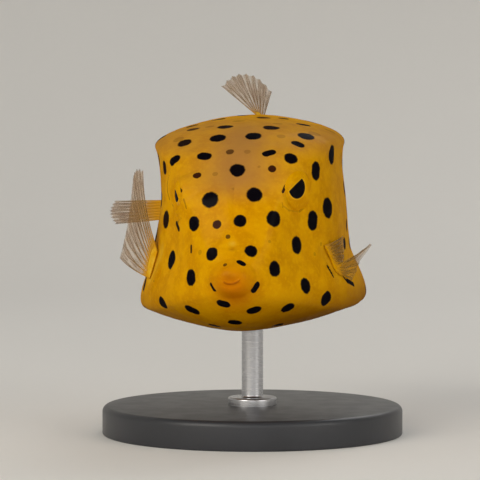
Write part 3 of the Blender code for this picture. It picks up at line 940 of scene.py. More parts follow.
@dataclass(frozen=True)
class EyeFrame:
    """Place of one eye: a lens whose axis points out and forwards."""

    side: int
    y: float
    z: float
    facing: float
    radius: float
    bulge: float
    sink: float

    def out(self) -> np.ndarray:
        """Direction in which the eye looks."""
        return np.array([self.side * sin(radians(self.facing)), -cos(radians(self.facing)), 0.0])

    def rearward(self) -> np.ndarray:
        """Direction across the eye, away from the snout."""
        return np.array([self.side * cos(radians(self.facing)), sin(radians(self.facing)), 0.0])

    def centre(self, plan: BodyPlan) -> np.ndarray:
        """Middle of the lens."""
        return plan.on_side(self.y, self.z, self.side) - self.out() * self.sink

    def local(self, points: np.ndarray, plan: BodyPlan) -> tuple[np.ndarray, np.ndarray, np.ndarray]:
        """Places in the eye's own frame: rearward, up and out."""
        away = points - self.centre(plan)
        return away @ self.rearward(), away[..., 2], away @ self.out()

    def lens(self, r: np.ndarray) -> np.ndarray:
        """Height of the lens over its middle plane at a distance from its axis."""
        return self.bulge * np.sqrt(np.clip(1 - (r / self.radius) ** 2, 0.0, 1.0))


EYES = {1: EyeFrame(1, 10.2, 10.3, 53.0, 2.75, 0.74, 0.17),
        -1: EyeFrame(-1, 9.0, 10.2, 71.0, 2.0, 0.63, -0.17)}


@dataclass(frozen=True)
class Pupil:
    """Black pupil: round, but cut straight where the front upper fold of the eye lies over it.

    middle and radius give the round part in the eye's frame (rearward, up). The fold's edge goes
    through a place there, at a rise in degrees.
    """

    middle: Span
    radius: float
    fold_through: Span
    rise: float
    curve: float
    fold_height: float

    def covered(self, a: np.ndarray, b: np.ndarray) -> np.ndarray:
        """Measure how far in front of the fold's edge places of the eye are.

        Args:
            a: How far rearward they are.
            b: How far up.

        Returns:
            The distances, negative on the open eye.
        """
        t = radians(self.rise)
        across = -sin(t) * (a - self.fold_through[0]) + cos(t) * (b - self.fold_through[1])
        along = cos(t) * (a - self.fold_through[0]) + sin(t) * (b - self.fold_through[1])
        return across + self.curve * along ** 2

    def edge(self, a: np.ndarray, b: np.ndarray) -> np.ndarray:
        """Distance outside the pupil's edge in millimetres, negative inside."""
        outside = np.hypot(a - self.middle[0], b - self.middle[1]) - self.radius
        return np.maximum(outside, self.covered(a, b))


PUPILS = {1: Pupil((-0.60, 0.60), 1.50, (-0.90, 1.02), 31.0, 0.05, 0.07),
          -1: Pupil((-0.16, 0.35), 1.34, (-0.36, 0.44), 27.0, 0.28, 0.05)}


@dataclass
class Markings:
    """Dark marks of the skin: pigment spots that the photograph shows, and like ones on the far sides. The
    drawn lines in the gill slits are painted shade, and the crescent under the left side fin is partly a spot
    and partly painted shadow.

    The drawn marks stand under their tone. A spot is a pixel of the photograph and a real diameter in
    millimetres. A streak is a first pixel, a last one and a width.
    """

    drawn: dict[Tone, tuple[tuple[float, ...], ...]] = field(default_factory=lambda: {
        Tone.BLACK: (
            (306.2, 136.0, 2.1), (217.8, 138.2, 2.0), (253.4, 136.0, 2.0), (290.9, 158.2, 1.7),
            (331.6, 154.6, 2.4), (237.4, 170.2, 1.9), (210.1, 199.5, 2.05), (254.3, 194.7, 1.95),
            (240.1, 220.9, 1.55), (251.0, 251.1, 1.55), (274.6, 268.9, 1.9), (305.6, 285.7, 1.95),
            (287.8, 308.0, 1.75), (344.4, 243.4, 1.6), (266.1, 153.8, 272.1, 152.1, 1.00),
            (202.2, 155.8, 206.4, 156.4, 1.30), (295.5, 143.1, 300.3, 145.1, 1.10),
            (316.1, 168.5, 315.8, 173.3, 1.75), (327.9, 206.9, 327.9, 209.0, 2.30),
            (312.8, 218.1, 312.4, 223.1, 1.85), (172.5, 258.2, 171.3, 261.4, 1.95),
            (190.9, 276.2, 191.0, 278.6, 1.75), (327.8, 297.0, 324.8, 300.2, 1.50),
            (161.5, 301.9, 163.6, 304.1, 1.40), (221.1, 303.3, 225.7, 304.5, 1.15),
            (251.8, 310.9, 256.2, 309.6, 1.30), (189.8, 309.2, 194.4, 311.2, 1.45),
            (233.2, 322.4, 236.8, 322.8, 1.30), (274.2, 218.0, 273.9, 219.5, 1.85),
            (193.7, 222.6, 193.9, 224.8, 1.55), (296.6, 244.3, 296.9, 245.7, 2.00),
            (175.5, 159.1, 173.1, 160.7, 1.35), (211.7, 253.1, 211.8, 254.9, 1.50),
            (181.2, 217.8, 176.8, 223.0, 0.15), (239.8, 261.9, 242.6, 263.5, 0.84),
            (211.2, 284.8, 214.4, 290.2, 0.60), (256.7, 285.2, 253.8, 289.8, 0.92),
            # Painted shade in the left gill slit; then a crescent under the left side fin, partly a black
            # spot and partly painted shadow under the fin's foot.
            (326.9, 265.0, 333.6, 277.3, 0.25), (347.2, 280.8, 353.6, 284.4, 0.62)),
        Tone.DARK: (
            (225.2, 126.8, 2.0), (271.3, 127.6, 2.1), (303.2, 124.6, 1.9), (184.6, 142.9, 1.8),
            (159.0, 160.3, 1.8), (166.1, 219.4, 2.2), (214.4, 325.8, 1.6), (277.6, 325.2, 1.5),
            (164.4, 165.5, 164.8, 170.0, 1.20), (176.6, 223.4, 178.9, 229.2, 0.60),
            # Front end of that crescent under the left side fin: painted shadow under the fin's foot, with
            # part of a spot.
            (343.2, 276.8, 346.8, 281.2, 0.30)),
        Tone.GREY: (
            (263.8, 117.7, 1.8), (193.2, 129.3, 1.7), (283.5, 118.5, 1.4),
            # Painted shade in the right gill slit.
            (153.9, 279.5, 153.1, 287.2, 0.22)),
        Tone.BROWN: (
            (197.0, 175.3, 1.05), (272.1, 168.8, 1.0), (217.0, 224.5, 1.1),
            (285.6, 185.6, 282.8, 192.0, 0.34), (179.8, 186.4, 181.4, 190.8, 0.42),
            (191.2, 246.0, 191.2, 252.0, 0.36)),
        Tone.DULL: (
            (229.9, 151.8, 1.0), (228.0, 236.7, 0.6), (225.0, 264.8, 0.5)),
        Tone.FAINT: (
            (238.8, 121.0, 1.6), (209.5, 126.7, 1.2), (277.6, 123.6, 1.3), (314.6, 133.6, 1.6),
            (330.0, 131.0, 1.5), (281.0, 136.2, 1.1), (178.6, 139.3, 1.4), (247.4, 151.7, 0.8),
            (215.1, 174.0, 0.7), (259.1, 166.8, 0.4), (231.0, 188.2, 0.8), (269.5, 241.6, 0.4),
            (200.0, 252.4, 0.6), (183.7, 320.4, 1.3), (314.6, 254.0, 0.5), (321.0, 244.0, 0.5),
            (330.0, 242.5, 0.6), (282.4, 202.5, 282.8, 207.5, 0.18), (306.6, 174.0, 309.0, 183.0, 0.20),
            (309.0, 183.0, 307.8, 195.0, 0.20), (283.8, 206.2, 289.0, 210.6, 0.20),
            (289.0, 210.6, 299.4, 211.8, 0.20), (299.4, 211.8, 306.2, 205.0, 0.20)),
        Tone.LINE: (
            (183.6, 199.0, 186.3, 208.5, 0.22), (169.2, 174.6, 167.2, 182.6, 0.22),
            (167.2, 182.6, 167.4, 191.6, 0.24), (167.4, 191.6, 169.6, 199.6, 0.24),
            (169.6, 199.6, 173.4, 205.8, 0.20)),
    })
    far_diameter: float = 1.95
    far_range: Span = (0.82, 1.06)
    far_spacing: float = 3.9
    belly_spacing: float = 5.6
    belly_facing: Span = (0.5, 0.95)
    stalk_spacing: float = 0.72
    stalk_size: float = 0.6
    stalk_before: float = 2.0
    hidden_facing: float = 0.07
    behind_y: float = 15.5
    under_z: float = -6.5
    under_y: float = 6.0
    fine_radius: float = 0.3
    fine_edge: float = 0.1
    farthest: float = 4.0
    unmarked: float = 9.0
    seed: int = 11

    def cast(self, tree: BVHTree, shop: Workshop, pixel: Span) -> np.ndarray | None:
        """Find the place of the skin that the photograph shows at a pixel.

        Args:
            tree: The skin's faces.
            shop: The shared workshop.
            pixel: Column and row in the photograph.

        Returns:
            The place, or nothing where the ray misses the skin.
        """
        start, way = shop.view.ray(pixel, shop.matrix())
        hit = tree.ray_cast(start, way)[0]
        return None if hit is None else np.array(hit)

    def far_places(self, points: np.ndarray, normals: np.ndarray, taken: list[np.ndarray],
                   shop: Workshop) -> list[np.ndarray]:
        """Spread spots over the skin that the camera doesn't see.

        Args:
            points: The skin's vertices.
            normals: Their outward directions.
            taken: Middles of the spots that the photograph shows.
            shop: The shared workshop.

        Returns:
            Middles of the new spots.
        """
        eye = np.array(shop.matrix().inverted() @ shop.view.place(shop.matrix()))
        hidden = np.einsum("ij,ij->i", unit(eye - points), normals) < self.hidden_facing
        under = (points[:, 2] < self.under_z) & (points[:, 1] > self.under_y)
        behind = (points[:, 1] > self.behind_y) | under
        order = np.random.default_rng(self.seed).permutation(np.where(hidden & behind)[0])
        middles = list(taken)
        added = []
        for k in order:
            belly = smoothstep(*self.belly_facing, -normals[k, 2])
            spacing = self.far_spacing + (self.belly_spacing - self.far_spacing) * belly
            spacing *= self.stalk_spacing if points[k, 1] > shop.plan.rear_y else 1.0
            gaps = np.linalg.norm(np.array(middles) - points[k], axis=1)
            if gaps.min() > spacing:
                middles.append(points[k])
                added.append(points[k])
        return added

    def marks(self, mesh: bpy.types.Mesh, shop: Workshop) -> list[tuple[np.ndarray, np.ndarray, float, Tone]]:
        """Lay every mark on the skin.

        Args:
            mesh: The skin.
            shop: The shared workshop.

        Returns:
            Both ends, the half-width and the tone of each mark.
        """
        points = points_of(mesh)
        tree = BVHTree.FromPolygons([tuple(p) for p in points], [tuple(p.vertices) for p in mesh.polygons])
        marks = []
        for tone, row in ((tone, row) for tone, rows in self.drawn.items() for row in rows):
            start, end = self.cast(tree, shop, row[:2]), self.cast(tree, shop, row[-3:-1])
            if start is None or end is None:
                LOG.info("no skin under the mark at %s, %s", *row[:2])
            else:
                marks.append((start, end, row[-1] / 2, tone))
        normals = np.array([v.normal for v in mesh.vertices])
        rng = np.random.default_rng(self.seed)
        for middle in self.far_places(points, normals, [m[0] for m in marks], shop):
            small = self.stalk_size if middle[1] > shop.plan.rear_y - self.stalk_before else 1.0
            radius = self.far_diameter / 2 * rng.uniform(*self.far_range) * small
            marks.append((middle, middle, radius, Tone.BLACK))
        return marks

    def paint(self, mesh: bpy.types.Mesh, shop: Workshop) -> None:
        """Store each vertex's distance to its nearest mark, as a share of the mark's radius.

        Args:
            mesh: The skin.
            shop: The shared workshop.
        """
        points = points_of(mesh)
        edge = np.full(len(points), self.unmarked)
        strength, warmth = np.zeros(len(points)), np.zeros(len(points))
        marks = self.marks(mesh, shop)
        for start, end, radius, tone in marks:
            ratio = chain_distance(points, np.array([start, end])) / radius
            if radius <= self.fine_radius:
                ratio = ratio * (1 - self.fine_edge) + self.fine_edge
            nearer = ratio < edge
            edge[nearer] = ratio[nearer]
            strength[nearer], warmth[nearer] = tone.value
        set_attribute(mesh, "spot_edge", np.minimum(edge, self.farthest))
        set_attribute(mesh, "spot_strength", strength)
        set_attribute(mesh, "spot_warmth", warmth)
        LOG.info("markings: %d marks", len(marks))


@dataclass(frozen=True)
class Patch:
    """Soft round patch on the front of the fish, of height in millimetres or of a tint.

    x and z are its middle, stretch is how much wider than tall it is, and back is the place along
    the fish where it stops.
    """

    x: float
    z: float
    stretch: float
    width: float
    amount: float
    back: float = 6.0

    def at(self, points: np.ndarray) -> np.ndarray:
        """Amount of the patch at points of the skin, none behind its back limit."""
        away = np.hypot((points[..., 0] - self.x) / self.stretch, points[..., 2] - self.z)
        return self.amount * hump(away, self.width) * (points[..., 1] < self.back)


@dataclass(frozen=True)
class Mouth:
    """Small mouth: a curved groove between two low lips, with a fold over it.

    The groove is a depth and a width, and a lip its place over the mouth's line and its width.
    """

    middle: Span = (0.36, -0.38)
    half: float = 1.04
    lift: float = 0.34
    tilt: float = 0.10
    front: float = 0.6
    corner: Span = (1.12, 0.85)
    groove: Span = (0.17, 0.09)
    lip_height: float = 0.08
    upper_lip: Span = (0.36, 0.30)
    lower_lip: Span = (-0.34, 0.26)
    lower_share: float = 0.85
    folds: tuple[Patch, ...] = (Patch(0.15, 4.25, 1.4, 0.34, 0.16), Patch(0.15, 3.75, 2.0, 0.16, -0.10))
    # Painted shade along the mouth's groove: its share and width, then where it fades at the corners and
    # behind the lips.
    line_painted_shade: Span = (0.6, 0.11)
    line_corner: Span = (1.15, 0.85)
    line_front: Span = (1.2, 0.6)

    def line(self, points: np.ndarray) -> tuple[np.ndarray, np.ndarray]:
        """Measure points against the line of the mouth.

        Args:
            points: Points of the skin.

        Returns:
            Their height over the line, and their place along it, from -1 to 1 between its corners.
        """
        share = (points[..., 0] - self.middle[0]) / self.half
        line = self.middle[1] + self.lift * share ** 2 + self.tilt * share
        return points[..., 2] - line, share

    def relief(self, points: np.ndarray) -> np.ndarray:
        """Raise the lips and the fold over them, and sink the groove.

        Args:
            points: Points of the plain skin.

        Returns:
            How far each is moved outwards.
        """
        over, share = self.line(points)
        open_part = (points[..., 1] < self.front) * smoothstep(*self.corner, np.abs(share))
        lips = (hump(over - self.upper_lip[0], self.upper_lip[1])
                + self.lower_share * hump(over - self.lower_lip[0], self.lower_lip[1]))
        height = self.lip_height * open_part * lips - self.groove[0] * open_part * hump(over, self.groove[1])
        return height + sum(fold.at(points) for fold in self.folds)

    def tint(self, points: np.ndarray) -> np.ndarray:
        """Paint shade into the groove along the line of the mouth.

        Args:
            points: Points of the skin.

        Returns:
            The share of the painted shade.
        """
        over, share = self.line(points)
        line = self.line_painted_shade[0] * hump(over, self.line_painted_shade[1])
        return (line * smoothstep(*self.line_corner, np.abs(share))
                * smoothstep(*self.line_front, points[..., 1]))


@dataclass(frozen=True)
class SideFolds:
    """Openings and swellings of both sides: nostrils, gill slits and the muscle before each side fin.

    Pairs are a height, depth or share and a width. A gill's lip is its way behind the slit, its
    height and its width.
    """

    plan: BodyPlan
    nostril: Span = (7.5, 8.5)
    nostril_rim: Span = (0.12, 0.40)
    nostril_hole: Span = (0.30, 0.15)
    gills: dict[int, Line] = field(default_factory=lambda: {
        1: ((13.0, 0.75), (13.35, -0.1), (13.75, -0.8), (14.3, -1.6)),
        -1: ((11.6, -0.4), (11.85, -1.5), (12.3, -2.5), (12.9, -3.2))})
    gill_lip: Point = (0.35, 0.08, 0.30)
    gill_slit: Span = (0.28, 0.12)
    # Painted shade in the gill slit: its share and width.
    gill_painted_shade: Span = (0.8, 0.10)
    base_line: Line = ((12.9, 2.2), (13.9, 0.2), (15.0, -2.1))
    bases: dict[int, float] = field(default_factory=lambda: {1: 0.10, -1: 0.34})
    base_width: float = 0.75
    base_tint: Span = (2.2, 0.8)

    def relief(self, places: np.ndarray, side: int) -> np.ndarray:
        """Raise and sink the skin of one side.

        Args:
            places: Places of the plain skin.
            side: 1 on the left, -1 on the right.

        Returns:
            How far each place is moved outwards.
        """
        away = np.linalg.norm(places - self.plan.on_side(*self.nostril, side), axis=-1)
        height = self.nostril_rim[0] * hump(away, self.nostril_rim[1])
        height -= self.nostril_hole[0] * hump(away, self.nostril_hole[1])
        behind, raised, width = self.gill_lip
        lip = chain_distance(places, self.plan.side_line(self.gills[side], side, behind))
        slit = chain_distance(places, self.plan.side_line(self.gills[side], side))
        base = chain_distance(places, self.plan.side_line(self.base_line, side))
        height += raised * hump(lip, width) - self.gill_slit[0] * hump(slit, self.gill_slit[1])
        return height + self.bases[side] * hump(base, self.base_width)

    def tints(self, points: np.ndarray, side: int) -> tuple[np.ndarray, np.ndarray]:
        """Paint shade into the gill slit and pale the muscle of one side.

        Args:
            points: Points of the skin.
            side: 1 on the left, -1 on the right.

        Returns:
            Shares of the painted shade and of the pale tint.
        """
        slit = chain_distance(points, self.plan.side_line(self.gills[side], side))
        base = chain_distance(points, self.plan.side_line(self.base_line, side))
        dark = self.gill_painted_shade[0] * hump(slit, self.gill_painted_shade[1])
        return dark, self.base_tint[0] * self.bases[side] * hump(base, self.base_tint[1])


@dataclass(frozen=True)
class Orbits:
    """Skin round the eyes: it runs up to each lens in front, and down to it behind.

    rim and under are shares of the lens's radius, and lid is such a share and a width. depth is
    where the fit sets in along the eye's axis, and fade where it ends round it. The brow is a
    swelling in front of the right eye.
    """

    plan: BodyPlan
    brow: Span = (7.2, 10.2)
    brow_flat: float = 1.2
    brow_way: Point = (-0.75, -0.66, 0.0)
    brow_height: float = 0.9
    brow_width: float = 2.6
    rim: float = 0.88
    fillet: float = 0.09
    slope: float = 0.9
    drop: float = 0.9
    gap: float = 0.06
    lid: Span = (1.16, 0.30)
    lid_run: Span = (0.4, -0.8)
    lid_heights: dict[int, float] = field(default_factory=lambda: {1: 0.12, -1: 0.30})
    under: Span = (0.84, 0.90)
    under_depth: float = 0.30
    depth: Span = (-5.0, -1.6)
    fade: Span = (2.8, 5.4)

    def fitted(self, places: np.ndarray) -> np.ndarray:
        """Fit the skin round both eyes.

        Args:
            places: Places of the skin.

        Returns:
            The skin's new places.
        """
        x, y, z = (places[..., k] for k in range(3))
        away = np.hypot(y - self.brow[0], (z - self.brow[1]) / self.brow_flat)
        brow = self.brow_height * hump(away, self.brow_width) * (x < 0)
        worked = places + brow[..., None] * np.array(self.brow_way)
        for eye in EYES.values():
            worked = worked + self.lifted(worked, eye)[..., None] * eye.out()
        return worked

    def lifted(self, places: np.ndarray, eye: EyeFrame) -> np.ndarray:
        """Work out how far the skin moves along an eye's axis.

        Args:
            places: Places of the skin.
            eye: The eye.

        Returns:
            The distance for each place.
        """
        a, b, c = eye.local(places, self.plan)
        r = np.hypot(a, b)
        rim = self.rim * eye.radius
        steep = eye.bulge / eye.radius * self.rim / (1 - self.rim ** 2) ** 0.5
        beyond = np.maximum(r - rim, 0.0)
        dome = np.where(beyond > 0, eye.lens(rim) - steep * beyond - self.drop * beyond ** 2, eye.lens(r))
        soft = self.fillet
        joined = soft * np.logaddexp(c / soft, dome / soft)
        wall = eye.lens(rim) + self.gap + self.slope * beyond
        target = -soft * np.logaddexp(-joined / soft, -wall / soft)
        lid = hump(r - self.lid[0] * eye.radius, self.lid[1]) * smoothstep(*self.lid_run, a)
        target = target + self.lid_heights[eye.side] * lid
        inside = 1 - smoothstep(*self.under, r / eye.radius)
        target = target + inside * (eye.lens(r) - self.under_depth - target)
        return (target - c) * (1 - smoothstep(*self.fade, r)) * smoothstep(*self.depth, c)


@dataclass(frozen=True)
class Tail:
    """Tail: its middle line, which bends to the fish's right, and the stalk round it.

    root and tip are half-widths and half-heights, and neck is a depth, a share along and a width.
    """

    plan: BodyPlan
    gap: float = 0.3
    z: float = 3.3
    drop: float = -0.055
    turn: float = 84.0
    bend: float = 7.5
    steps: int = 60
    length: float = 15.6
    root: Span = (3.2, 3.6)
    tip: Span = (0.9, 1.45)
    taper: float = 0.8
    neck: Point = (0.10, 0.05, 0.07)
    inside: float = -0.06
    rings: int = 40
    cap: tuple[float, ...] = (0.3, 0.6, 0.85, 1.0)
    cap_length: float = 0.5

    def heading(self, s: float) -> float:
        """Turn of the tail to the fish's right, in radians."""
        t = min(1.0, max(0.0, s) / self.bend)
        return radians(self.turn) * t * t * (3 - 2 * t)

    def line(self, s: float) -> tuple[np.ndarray, np.ndarray]:
        """Follow the middle of the tail.

        Args:
            s: Length behind the carapace.

        Returns:
            The place there, and the direction ahead.
        """
        x, y = 0.0, self.plan.rear_y + self.gap
        for i in range(self.steps):
            heading = self.heading(s * (i + 0.5) / self.steps)
            x -= sin(heading) * s / self.steps
            y += cos(heading) * s / self.steps
        heading = self.heading(s)
        return np.array([x, y, self.z + self.drop * s]), np.array([-sin(heading), cos(heading), 0])

    def stalk(self, last: np.ndarray) -> np.ndarray:
        """Run rings from the rim of the carapace into the stalk and along it to its closed end.

        Args:
            last: The last ring of the carapace.

        Returns:
            Array (rings, points round, 3).
        """
        angle = np.arctan2((last[:, 2] - self.z) / self.root[1], last[:, 0] / self.root[0])
        rings = []
        for t in np.linspace(self.inside, 1.0, self.rings):
            middle, ahead = self.line(max(self.length * t, 0.0))
            middle = middle + ahead * min(self.length * t, 0.0)
            share = max(t, 0.0) ** self.taper
            wide, tall = (root + (tip - root) * share for root, tip in zip(self.root, self.tip))
            neck = 1 - self.neck[0] * hump(t - self.neck[1], self.neck[2])
            across = np.array([ahead[1], -ahead[0], 0.0])
            ring = middle + neck * wide * np.cos(angle)[:, None] * across
            rings.append(ring + neck * tall * np.sin(angle)[:, None] * np.array([0, 0, 1]))
        middle, ahead = self.line(self.length)
        for t in self.cap:
            shrink = max(0.0, 1 - t * t) ** 0.5
            rings.append(middle + ahead * self.cap_length * t + (rings[self.rings - 1] - middle) * shrink)
        return np.array(rings)


@dataclass(frozen=True)
class Tints:
    """Broad tints of the skin over its yellow: a painted sheen of overhead light on the brow and crown,
    orange on the muzzle, a reddish brown with painted shade in grooves, creases and under the chin, painted
    shade underneath and on the outer flanks, and a paleness that is a painted highlight over the mouth and
    the paler muscle before each side fin.

    muzzle is the orange's middle (across, up) and how much taller than wide it is.
    """

    # Painted sheen of overhead light on the brow and on the crown.
    brow_x: float = 0.3
    brow_width: float = 5.25
    brow_z: Span = (8.5, 12.5)
    brow_y: Span = (30.0, 14.0)
    brow_share: float = 0.85
    crown_z: Span = (13.5, 16.5)
    crown_y: Span = (34.0, 20.0)
    crown_share: float = 0.45
    muzzle: Point = (0.45, -1.05, 1.1)
    muzzle_reach: Span = (4.6, 0.2)
    muzzle_y: Span = (6.0, 3.0)
    muzzle_share: float = 0.9
    bridge: Patch = Patch(0.0, 8.0, 5.5 / 4.5, 4.5, 0.16, 12.0)
    # A reddish brown on the upper lip, and painted shade in the crease under the fold over the mouth and
    # under the chin.
    rust: tuple[Patch, ...] = (Patch(0.15, 3.7, 2.2, 0.20, 0.45), Patch(0.5, -2.4, 1.6, 1.1, 0.16),
                               Patch(0.1, 0.55, 1.5, 0.45, 0.30, 3.0))
    # Painted highlight on the fold over the mouth.
    pale: Patch = Patch(0.15, 4.35, 1.4, 0.30, 0.75)
    # Painted shade: darker underneath, more on the fish's left, and on the outer flanks from the waist up.
    painted_shade_under_z: Span = (-1.0, -8.0)
    painted_shade_under_x: Span = (-3.0, 9.0)
    painted_shade_under_share: Span = (0.58, 0.40)
    painted_shade_flank_x: Span = (9.0, 13.0)
    painted_shade_flank_z: Span = (-4.0, 2.0)
    painted_shade_flank_share: float = 0.25

    def shares(self, points: np.ndarray, mouth: Mouth, folds: SideFolds) -> dict[str, np.ndarray]:
        """Work out how much of each tint every point has.

        Args:
            points: Points of the skin.
            mouth: The mouth, whose groove gets painted shade.
            folds: The folds of the sides, with their own tints.

        Returns:
            Each tint's shares.
        """
        x, y, z = points.T
        # Painted sheen of overhead light on the top-facing brow and crown.
        brow = hump(x - self.brow_x, self.brow_width) * smoothstep(*self.brow_z, z)
        crown = smoothstep(*self.crown_z, z) * smoothstep(*self.crown_y, y) * self.crown_share
        tan = np.maximum(brow * smoothstep(*self.brow_y, y) * self.brow_share, crown)
        away = np.hypot(x - self.muzzle[0], (z - self.muzzle[1]) / self.muzzle[2])
        muzzle = smoothstep(*self.muzzle_reach, away) * smoothstep(*self.muzzle_y, y)
        orange = np.maximum(self.muzzle_share * muzzle, self.bridge.at(points)) * self.muzzle_share
        # Painted shade under the fish, stronger on its left, and on the outer flanks.
        least, more = self.painted_shade_under_share
        low = smoothstep(*self.painted_shade_under_z, z) * (least + more * smoothstep(*self.painted_shade_under_x, x))
        flank = smoothstep(*self.painted_shade_flank_x, np.abs(x)) * smoothstep(*self.painted_shade_flank_z, z) * self.painted_shade_flank_share
        sides = [folds.tints(points, side) for side in SIDES.values()]
        # Reddish brown on the upper lip, with painted shade in the mouth's groove, the crease, under the chin
        # and in the gill slits.
        rust = [mouth.tint(points), *(patch.at(points) for patch in self.rust), *(dark for dark, _ in sides)]
        # A painted highlight over the mouth, and the paler muscle before each side fin.
        pale = [self.pale.at(points), *(light for _, light in sides)]
        return {"tan": tan, "orange": orange, "rust": np.maximum.reduce(rust), "shade": low + flank,
                "pale": np.maximum.reduce(pale)}


@dataclass
class Skin:
    """One skin from the lips to the root of the tail fin, with its folds and openings.

    muzzle gives rings (place, half-width, half-height), flare how much wider and taller the face is
    than the solids at a place, ring_runs how many rings there are between places, and waves the
    height and the two directions of each low wave.
    """

    shop: Workshop
    tail: Tail
    markings: Markings = field(default_factory=Markings)
    mouth: Mouth = field(default_factory=Mouth)
    tints: Tints = field(default_factory=Tints)
    muzzle_rings: int = 34
    muzzle: tuple[Point, ...] = (
        (-0.90, 0.02, 0.02), (-0.87, 0.68, 0.58), (-0.74, 1.28, 1.09), (-0.48, 1.78, 1.50),
        (-0.10, 2.20, 1.84), (0.42, 2.63, 2.20), (0.93, 2.98, 2.50))
    face_start: Span = (3.17, 2.65)
    flare: tuple[Point, ...] = (
        (1.2, 1.51, 1.36), (2.0, 1.50, 1.29), (3.0, 1.45, 1.20), (4.2, 1.31, 1.12),
        (5.4, 1.17, 1.06), (6.5, 1.09, 1.02), (8.0, 1.035, 1.0), (10.0, 1.0, 1.0))
    lean: float = 0.35
    lean_reach: float = 7.0
    bow: float = 0.6
    bow_z: Span = (7.5, 5.5)
    bow_y: tuple[Span, Span] = ((8.0, 20.0), (54.0, 44.0))
    ring_runs: tuple[tuple[float, float, int], ...] = (
        (1.2, 12.0, 90), (12.0, 20.0, 44), (20.0, 50.0, 84), (50.0, 51.85, 12))
    rim_steps: tuple[float, ...] = (0.35, 0.7, 1.0)
    rim: Point = (0.12, 0.25, 0.75)
    waves: tuple[tuple[float, Point, Point], ...] = (
        (0.03, (0.5, 0.9, 0.0), (-0.3, 0.0, 0.8)), (0.02, (2.1, 0.0, 1.3), (0.0, 1.9, 0.0)))
    calm: Span = (0.0, 4.0)

    def mirrored(self, half: np.ndarray, y: np.ndarray) -> np.ndarray:
        """Make whole rings from left halves.

        Args:
            half: Array (rings, points, 2) of x and z.
            y: Place of each ring.

        Returns:
            Array (rings, points round, 3).
        """
        rings, count = half.shape[:2]
        left = np.empty((rings, count, 3))
        left[..., 0], left[..., 2] = half[..., 0], half[..., 1]
        left[..., 1] = y[:, None]
        right = left[:, -2:0:-1] * (-1, 1, 1)
        return np.concatenate([left, right], axis=1)

    def muzzle_places(self, first: np.ndarray) -> np.ndarray:
        """Run rings from the tip of the muzzle to the face.

        Args:
            first: The first ring of the face.

        Returns:
            Array (rings, points round, 3).
        """
        index = [(float(i), *row) for i, row in enumerate(self.muzzle)]
        t = np.linspace(0, len(self.muzzle) - 1, self.muzzle_rings, endpoint=False)
        y, wide, tall = (through(tuple((row[0], row[k]) for row in index), t) for k in (1, 2, 3))
        angle = np.arctan2(first[:, 2] / self.face_start[1], first[:, 0] / self.face_start[0])
        rings = np.empty((len(t), len(first), 3))
        rings[..., 0] = wide[:, None] * np.cos(angle)
        rings[..., 1] = y[:, None]
        rings[..., 2] = tall[:, None] * np.sin(angle)
        return rings

    def leaning(self, y: np.ndarray | float) -> np.ndarray:
        """How far the snout is moved to the fish's left at a place along it."""
        return self.lean * (1 - smoothstep(0.0, self.lean_reach, y))

    def surface(self) -> np.ndarray:
        """Work out the plain skin before its relief, ring by ring from the mouth.

        Returns:
            Array (rings, points round, 3).
        """
        runs = [np.linspace(a, b, n, endpoint=False) for a, b, n in self.ring_runs]
        y = np.concatenate(runs + [[self.ring_runs[-1][1]]])
        body = self.mirrored(self.shop.plan.half_sections(y), y)
        for axis, column in ((0, 1), (2, 2)):
            body[..., axis] *= through(tuple((row[0], row[column]) for row in self.flare), y)[:, None]
        rolled = body[-1].copy()
        middle = np.array([0, 0, self.tail.z])
        inwards, back, roll = self.rim
        rim = []
        for t in self.rim_steps:
            ring = rolled + (middle - rolled) * (inwards * t * t) * (1, 0, 1)
            ring[:, 1] += back * sin(pi * t * roll)
            rim.append(ring)
        places = np.concatenate([self.muzzle_places(body[0]), body, np.array(rim),
                                 self.tail.stalk(body[-1])])
        x, y, z = (places[..., k] for k in range(3))
        bow = hump(z - self.bow_z[0], self.bow_z[1])
        for run in self.bow_y:
            bow = bow * smoothstep(*run, y)
        places[..., 0] = x + self.leaning(y) + self.bow * bow
        return places

    def normals(self, places: np.ndarray) -> np.ndarray:
        """Work out the outward directions of the plain skin from its own grid.

        Args:
            places: The plain skin.

        Returns:
            The directions.
        """
        round_it = np.roll(places, -1, axis=1) - np.roll(places, 1, axis=1)
        along = np.gradient(places, axis=0)
        return unit(np.cross(along, round_it))

    def relief(self, places: np.ndarray, folds: SideFolds) -> np.ndarray:
        """Raise and sink the plain skin into its low waves, its openings and its folds.

        Args:
            places: The plain skin.
            folds: The folds of the sides.

        Returns:
            The worked skin.
        """
        height = sum(size * np.sin(places @ np.array(a)) * np.cos(places @ np.array(b))
                     for size, a, b in self.waves)
        height *= smoothstep(*self.calm, places[..., 1])
        height += self.mouth.relief(places)
        for side in SIDES.values():
            height += folds.relief(places, side)
        worked = places + self.normals(places) * height[..., None]
        return Orbits(self.shop.plan).fitted(worked)

    def build(self) -> bpy.types.Object:
        """Make the skin, tint it, mark it and dress it.

        Returns:
            The piece.
        """
        folds = SideFolds(self.shop.plan)
        mesh = mesh_of("boxfish_skin", bent_grid(self.relief(self.surface(), folds), closed=True))
        for zone, share in self.tints.shares(points_of(mesh), self.mouth, folds).items():
            set_attribute(mesh, f"zone_{zone}", np.clip(share, 0, 1))
        self.markings.paint(mesh, self.shop)
        return self.shop.keep("boxfish_skin", mesh, FishSkin, "skin_yellow",
                              ("head", "carapace", "upper_lip", "lower_lip", "tail_stalk"))


